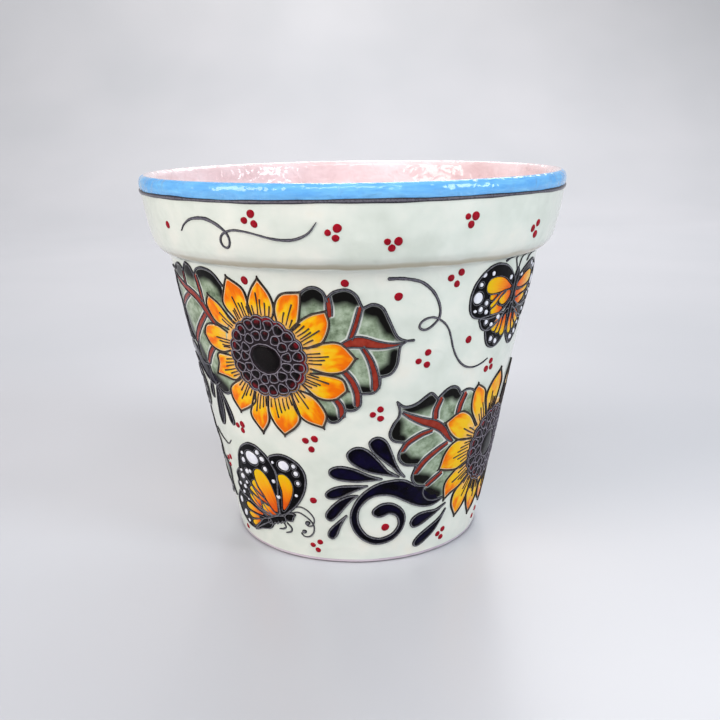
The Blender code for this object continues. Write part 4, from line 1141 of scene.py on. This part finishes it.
highButterfly = {
    "under": [[(3, 3), (8.5, 6), (14, 3), (24, -3), (18, -10), (10, -10), (8, -12), (6, -10), (3.5, -4)]],
    "wings": [
        [(6.6, 15), (3, 19.4), (0, 22), (-5, 24.8), (-10, 26), (-15, 26.2), (-20, 24.6), (-25, 20.8),
         (-28.6, 16), (-30.2, 10.5), (-30, 4.5), (-28.2, -0.4), (-25.4, -2.8), (-21, -4), (-14, -5),
         (-6, -4), (2, 0), (6.4, 4)],
        [(-20, -4.2), (-19.6, -7), (-17.6, -10), (-14.6, -11.6), (-10.6, -11.8), (-5, -9), (1, -4),
         (-3, -3), (-10, -3)],
        [(-13, -11.4), (-12.6, -15.6), (-10.8, -19.4), (-7.6, -22.2), (-3.2, -23.3), (0.6, -22.4),
         (3.6, -20.2), (6.2, -17), (6.8, -10), (6, -2), (1, -4), (-5, -8)],
        [(10.4, 15), (14, 17.8), (19, 20.4), (25, 22.4), (31, 23), (36.6, 21.6), (41, 17.4), (43.6, 11.6),
         (43.8, 5), (41, -1.2), (36, -3.4), (30, -4), (22, -3), (15, 0), (10.6, 4)],
        [(36, -3.6), (35.6, -7), (32.6, -10.6), (28, -11.8), (22, -10), (15, -4), (20, -3)],
        [(29, -11.4), (28.4, -16), (26, -20.6), (21.6, -24.4), (16.6, -25.2), (12.6, -22), (9.6, -17.6),
         (9.4, -10), (10, -2), (15, -4), (21, -8)],
    ],
    "body": [
        [(8.6, 21.6), (10.2, 19), (10.4, 15), (10.2, 8), (9.4, 2), (6.8, 2), (6.3, 8), (6.6, 15), (7, 19)],
        [(6.8, 1), (9.6, 1), (9.4, -6), (8.4, -12), (7.4, -15), (6.4, -11), (6.2, -5)],
    ],
    "cells": [
        ([(-19.6, 14), (-18.6, 17), (-15, 18.6), (-9, 18.6), (-4, 17), (1, 14), (5, 11.2), (4, 10.4),
          (0, 10.4), (-8, 9.6), (-15, 9.6), (-18.4, 11)], (-18, 14), (3, 11.5)),
        ([(-15.4, 8.4), (-9, 8.4), (-13.2, 5.6), (-14.8, 6.6)], (-15, 7.5), (-10, 8)),
        ([(-13.8, 2.4), (-10, 5.4), (-5, 8.8), (-1, 9.6), (-6, 6.6), (-9.6, 2.6), (-12.6, 1.4)],
         (-13, 2.4), (-3, 8)),
        ([(-6.2, 5), (-3.4, 7.8), (1, 9.4), (4.4, 9), (5, 6), (3, 3.4), (0, 1.8), (-3.6, 2.2)],
         (-5.5, 5), (4, 7)),
        ([(-12.8, -1), (-8.4, 2.8), (-7, 1.8), (-3.4, 0.6), (-1, -0.2), (-5, -3), (-8.6, -3.6),
          (-11.8, -2.6)], (-12, -2), (-3, -0.4)),
        ([(-8.4, -11.6), (-6, -7.4), (-2, -5.6), (-2.6, -9.4), (-5, -13.6)], (-7.4, -12), (-2.4, -6.5)),
        ([(-4, -14), (-1.6, -9), (0.8, -6), (1, -10), (-0.4, -15)], (-2.4, -14.6), (0.6, -7)),
        ([(1, -15.4), (2.2, -9), (4, -5), (6, -8), (6.2, -16.4), (4.2, -17.6)], (3.6, -17), (4.6, -7)),
        ([(11.4, 10.6), (15, 13.6), (20, 15.8), (27, 17), (33, 16), (35.6, 12.6), (33, 9.6), (25, 8.6),
          (17, 8.8)], (34, 13), (13, 10.5)),
        ([(11.4, 8.6), (14, 7.6), (24, 7.4), (31.6, 7.4), (29, 4.6), (20, 4.4), (13, 3.6)],
         (30, 6), (13, 6.4)),
        ([(13.6, 2.4), (19, 3.2), (27.6, 3.2), (26.6, 0.4), (20, -1.6), (16, -0.6)], (27, 1.6), (15, 1.6)),
        ([(16, -4.4), (21, -6.8), (24.4, -11), (21, -13.8), (17, -10)], (22.4, -12), (16.4, -5.4)),
        ([(14.4, -5.4), (16, -10), (20, -14.4), (17, -17), (14.4, -12)], (18, -16), (14.6, -7)),
        ([(10.4, -6), (13, -6.4), (13.6, -12), (15.8, -17.6), (12.4, -18.2), (10.2, -14)],
         (13.6, -18), (11.6, -7)),
    ],
    "ringed": [(-25, 8, 3.3), (-24.5, 15.5, 1.2, 1.1, 0), (-21.3, 1.2, 1.5), (-14.7, -6.8, 1.4),
               (-17.5, 4.5, 1.4), (-7.2, -17.8, 1.5), (-2.2, -20, 1.5), (39.6, 9, 3.2), (34.6, 1, 1.5),
               (23, -19.4, 1.5, 1.3, -30), (17.4, -21.6, 1.5, 1.5, -10)],
    "spots": [(-23.4, 21, 1.4, 1.1, 40), (-16.3, 21.2, 1.3), (1.8, 17, 1.3, 1.1, 40),
              (-25.5, 0.5, 0.9, 1.4, 0), (-16.3, -0.8, 1.3, 1.1, 0), (-9.5, -9, 1.3, 1.1, 0),
              (-4, -5.3, 1.5, 1.1, 0), (37, 18, 1.4, 1.1, 0), (31, 20.6, 1.3), (15, 16.8, 1.2, 1.1, 0),
              (40.4, 2, 1), (30.6, -7.4, 1.3, 1.1, 0), (25.6, -14.6, 1.2)],
    "lines": [
        [(8.1, 18, 1.4), (7.4, 21, 1.2), (6, 23.8, 1.1), (4.6, 26.2, 1), (3.2, 28.4, 0.9)],
        [(8.9, 17.4, 1.4), (9.3, 21, 1.2), (9.8, 24.1, 1.1), (10.6, 26.4, 1), (12, 28.6, 0.9)],
        [(-5.8, 27.3, 1.9), (-4.6, 28, 1.6), (-3.2, 28.9, 1.1)],
        [(-6.6, 27.6, 1.2), (-6.4, 28.6, 0.9), (-5.6, 29.4, 0.7)],
        [(20.1, 24.2, 1.5), (20.9, 25.3, 1.3), (22, 26.8, 0.9)],
        [(21, 24.6, 0.9), (23, 26.4, 0.9), (25.4, 28.4, 0.8)],
    ],
    "knobs": [],
}


def butterfly(shape):
    piles = newPiles("wings", "cells", "spots", "lines")
    for patch in shape["under"]:
        layEnamel(piles["wings"], smoothRun(patch, 1.5, True), 0.25, 2.0)
    for n, wing in enumerate(shape["wings"]):
        outline = smoothRun(wing, 1.2, True)
        layEnamel(piles["wings"], outline, 0.30 + 0.05 * (n % 2), 2.0, n * 0.3)
        trailSlip(piles["lines"], outline, wingLook["outline"], True, tall=0.78, mark=n * 0.3)
    for n, part in enumerate(shape["body"]):
        outline = smoothRun(part, 0.9, True)
        layEnamel(piles["wings"], outline, 0.62, 1.8, n * 0.2)
        trailSlip(piles["lines"], outline, wingLook["bodyLine"], True, -0.1, 0.98, n * 0.2)
    for n, (cell, start, end) in enumerate(shape["cells"]):
        outline = smoothRun(cell, 1.0, True)
        area = abs(np.cross(outline, np.roll(outline, -1, 0)).sum()) / 2
        spread = 1 if area > wingLook["narrowCell"] else wingLook["narrowSpread"]
        outline = growOutline(outline, wingLook["cellSpread"] * spread)
        layEnamel(piles["cells"], outline, 0.5 + 0.03 * (n % 3), 1.8, n * 0.23, (start, end))
        trailSlip(piles["lines"], outline, wingLook["cellLine"], True, 0.0, 0.78, n * 0.23)
    for key, tall in (("ringed", 0.5), ("spots", 0.45)):
        for spot in shape[key]:
            x, y, size, stretch, lean = (*spot, 1, 0)[:5]
            dropEnamel(piles["spots"], (x, y), size, tall, stretch, lean, x * 0.1, wingLook["spotFloor"])
            if key == "ringed":
                ring = oval(roundTurns(28), size + wingLook["ringGap"], stretch, lean) + (x, y)
                trailSlip(piles["lines"], ring, wingLook["ringLine"], True, 0.0, 0.7, x * 0.1)
    for line in shape["lines"]:
        trailSlip(piles["lines"], smoothRun(line, 0.8), tall=0.6, mark=0.3)
    for x, y, size in shape["knobs"]:
        dropEnamel(piles["lines"], (x, y), size, 0.75, 1.2, 30, 0.3)
    return piles


wingFinish = {"wings": wingPaint, "cells": cellPaint, "spots": whitePaint, "lines": slateSlip}
placeMotifs([(name + "_paint", name, butterfly(shape), "wall", anchor, wingFinish, "wing_enamel")
             for name, shape, anchor in (("low_butterfly", lowButterfly, (-35, 47)),
                                         ("high_butterfly", highButterfly, (51, 150)))])
print("butterflies laid")


tendrilLook = {"rise": 0.7}
wallTendril = [(-24.3, 33.7, 2.1), (-18, 33.8, 2), (-12, 33, 1.9), (-6, 31, 1.9), (0, 26, 1.9),
               (3.6, 20.5, 1.8), (5.4, 15, 1.7), (5, 10.5, 1.7), (2, 7, 1.6), (-1, 5, 1.6),
               (-3.8, 4.7, 1.5), (-5.9, 6.4, 1.5), (-5.2, 8.9, 1.5), (-2.4, 10.8, 1.4), (1.4, 11.3, 1.4),
               (5, 10, 1.3), (9, 7, 1.3), (12, 3, 1.2), (14.2, -2.6, 1.3), (16, -8, 1.3), (19, -14, 1.3),
               (23, -19, 1.5), (28, -22.4, 1.3), (34, -23.8, 1.1), (40, -23.2, 0.9), (45, -21.6, 0.6)]
collarTendril = [(-46, -3.9, 0.8), (-43.2, -0.5, 1.1), (-38.3, 2.7, 1.5), (-33.4, 4.2, 1.8),
                 (-27.5, 4.8, 2.1), (-23.4, 4.3, 2.2), (-18.3, 2.4, 2.1), (-14.1, -0.3, 1.8),
                 (-11.9, -2.8, 1.6), (-11.2, -5.5, 1.5), (-12, -8.3, 1.4), (-13.7, -9.7, 1.4),
                 (-15.6, -9.1, 1.4), (-16.9, -7.1, 1.5), (-16.7, -4.6, 1.5), (-15, -2.4, 1.5),
                 (-12, -0.9, 1.4), (-8.1, 0, 1.4), (-3.1, -0.2, 1.3), (3.2, -1.3, 1.1), (11, -3.3, 1.3),
                 (17.5, -4.4, 1.6), (23.5, -4.5, 1.7), (28.7, -3.2, 1.5), (32.8, -0.9, 1.2),
                 (35.6, 2.3, 0.8), (36.8, 3.9, 0.5)]
dotLook = {"rise": 0.6, "swell": 1.06, "outOfRound": 0.04}
# dots of cherry red: anchor, then x, y and radius of each
wallDots = [
    ((22, 140), [(-18.8, 24, 2.2), (10, 32.2, 1.9), (16.2, 34.7, 2), (14, 28.5, 1.8), (0.5, -8.8, 1.9),
                 (-4.6, -13.5, 1.7), (0.5, -16, 1.9), (26.6, -5.6, 2.1)]),
    ((0, 128.9), [(-4.3, 43.7, 2), (13.5, -29.5, 1.8), (9.3, -32.5, 1.7), (13.5, -35.2, 1.8)]),
    ((10, 40), [(1.8, -16.3, 2.3), (-40, 0, 2), (-44.5, 39, 1.9), (-39.3, 41, 2), (-41, 34, 1.9),
                (-36, -28.7, 1.7), (-40.4, -31.8, 1.6), (-37.2, -34.7, 1.6), (41.2, -29, 1.8),
                (37.3, -31, 1.7), (40, -34.3, 1.8)]),
    ((-35, 47), [(-20.4, 34.6, 1.7), (-15.6, 36.4, 2.1), (-16.2, 32.4, 1.8)]),
    ((-70, 60), [(8, -8, 1.6), (13, -6, 1.8), (8.6, -12.4, 1.5), (11, -55, 1.7)]),
    ((51, 150), [(-1.3, -32.4, 1.8), (-4.9, -36.7, 2), (0.1, -36.4, 1.8)]),
    ((-27.7, 128.9), [(-6.2, 43.3, 2.2)]),
    ((61.8, 62.5), [(5.7, -54.6, 1.7), (10, -50.9, 1.8)]),
]
collarDots = [
    ((0, 199), [(-51.2, 6.8, 2.1), (-55, 3, 1.8), (-49.5, 1.8, 1.9), (-12, -0.3, 1.6), (-7.3, 2, 2.2),
                (-8.2, -3, 1.8), (17, -5.5, 1.7), (22.5, -5.6, 2.1), (19.2, -8.9, 1.9), (59.7, 2.7, 1.6),
                (64.3, 2.3, 2.3), (61.6, -1.7, 1.9)]),
    ((-45, 199), [(-17.2, -0.6, 2)]),
    ((45, 199), [(13.5, -5, 2), (18.2, -2.5, 2), (17.7, -8.7, 2.2)]),
]
motifs = []
for name, path, face, anchor, mark in (("wall_tendril", wallTendril, "wall", (22, 140), 0.1),
                                       ("collar_tendril", collarTendril, "collar", (-25, 199), 0.6)):
    piles = newPiles("bead")
    trailSlip(piles["bead"], smoothRun(path, 0.8), tall=tendrilLook["rise"], mark=mark)
    motifs.append((name, name, piles, face, anchor, {"bead": lineSlip}, "tendril_slip"))
for face, groups in (("wall", wallDots), ("collar", collarDots)):
    for n, (anchor, dots) in enumerate(groups):
        piles = newPiles(str(n + 1))
        for k, (x, y, radius) in enumerate(dots):
            stretch = 1.0 + dotLook["outOfRound"] * math.sin(k * 3)
            dropEnamel(piles[str(n + 1)], (x, y), radius * dotLook["swell"], dotLook["rise"], stretch, k * 50,
                       k * 0.37 + n)
        motifs.append((face + "_dots", "", piles, face, anchor, {str(n + 1): cherryPaint}, "petal_enamel"))
placeMotifs(motifs)
print("tendrils and dots laid")


studio = {
    # softboxes: place, size in metres, power, colour and where it points
    "lights": [
        ((-1.75, -1.05, 1.0), (1.2, 1.1), 30.0, "#FFF7EE", (0, 0, 0.12)),
        ((1.75, -1.0, 1.05), (0.7, 1.1), 23.5, "#F6FCFF", (0, 0, 0.12)),
        ((0.0, -1.5, 2.1), (1.8, 0.8), 25.0, "#FFFFFF", (0, 0, 0.12)),
        ((0.5, 1.9, 1.7), (1.8, 0.9), 22.0, "#FFFFFF", (0, 0, 0.12)),
        ((0.0, 1.2, 2.4), (2.4, 0.5), 31.0, "#FFF9EE", (0, 2.8, 0.8)),
    ],
    "sky": ("#EEF1F4", 0.31),
    "camera": (0.0028, -0.5715, 0.2515),
    "tilt": 14.57,           # degrees downwards
    "roll": -0.81,           # degrees anticlockwise
    "lens": 46.2,
    # the floor sheet, in metres: half width, front edge, where it starts to sweep up, radius, top
    "floor": (4.0, -3.0, 1.6, 1.2, 4.0),
    "floorColours": ("#C1C3CA", "#C8C9D0"),
}


def buildFloor():
    # a flat sheet that sweeps up behind, so that no horizon shows
    wide, front, bend, radius, top = studio["floor"]
    rows = [(front, 0.0), (0.6, 0.0), (bend, 0.0)]
    rows += [(bend + radius * math.sin(a), radius - radius * math.cos(a))
             for a in np.radians(np.arange(6, 91, 6))]
    rows += [(bend + radius, top)]
    points = [(x, y, z) for y, z in rows for x in (-wide, wide)]
    faces = [(2 * i, 2 * i + 1, 2 * i + 3, 2 * i + 2) for i in range(len(rows) - 1)]
    mesh = bpy.data.meshes.new("studio_floor")
    mesh.from_pydata(points, [], faces)
    mesh.shade_smooth()
    # plain pale paper with a trace of sheen
    material, tree, shader = newMaterial("studioFloor", {"Roughness": 0.32, "IOR": 1.45})
    place = addNode(tree, "TexCoord", {}).outputs["Object"]
    cloud = addNode(tree, "TexNoise", {"Scale": 3.0, "Detail": 2.0, "Vector": place})
    ramp = addNode(tree, "ValToRGB", {"Fac": cloud, "stops": list(zip((0.3, 0.7), studio["floorColours"]))})
    feed(tree, shader.inputs["Base Color"], ramp)
    mesh.materials.append(material)
    floor = bpy.data.objects.new("studio_floor", mesh)
    bpy.context.scene.collection.objects.link(floor)


def lightStudio():
    for n, (place, size, power, colour, target) in enumerate(studio["lights"]):
        lamp = bpy.data.lights.new("softbox" + str(n + 1), "AREA")
        lamp.shape = "RECTANGLE"
        lamp.size, lamp.size_y = size
        lamp.energy = power
        lamp.color = tint(colour)[:3]
        holder = bpy.data.objects.new("softbox" + str(n + 1), lamp)
        holder.location = place
        holder.rotation_euler = (Vector(target) - Vector(place)).to_track_quat("-Z", "Y").to_euler()
        bpy.context.scene.collection.objects.link(holder)
    world = bpy.data.worlds.new("studioSky")
    world.use_nodes = True
    sky = world.node_tree.nodes["Background"]
    sky.inputs["Color"].default_value = tint(studio["sky"][0])
    sky.inputs["Strength"].default_value = studio["sky"][1]
    bpy.context.scene.world = world


def setCamera():
    data = bpy.data.cameras.new("camera")
    data.lens = studio["lens"]
    data.sensor_width = 36.0
    data.clip_start = 0.02
    camera = bpy.data.objects.new("camera", data)
    camera.location = studio["camera"]
    turned = (Matrix.Rotation(math.radians(90 - studio["tilt"]), 3, "X")
              @ Matrix.Rotation(math.radians(studio["roll"]), 3, "Z"))
    camera.rotation_euler = turned.to_euler()
    bpy.context.scene.collection.objects.link(camera)
    bpy.context.scene.camera = camera


buildFloor()
lightStudio()
setCamera()
bpy.context.scene.view_settings.view_transform = "Standard"
print("studio lit")
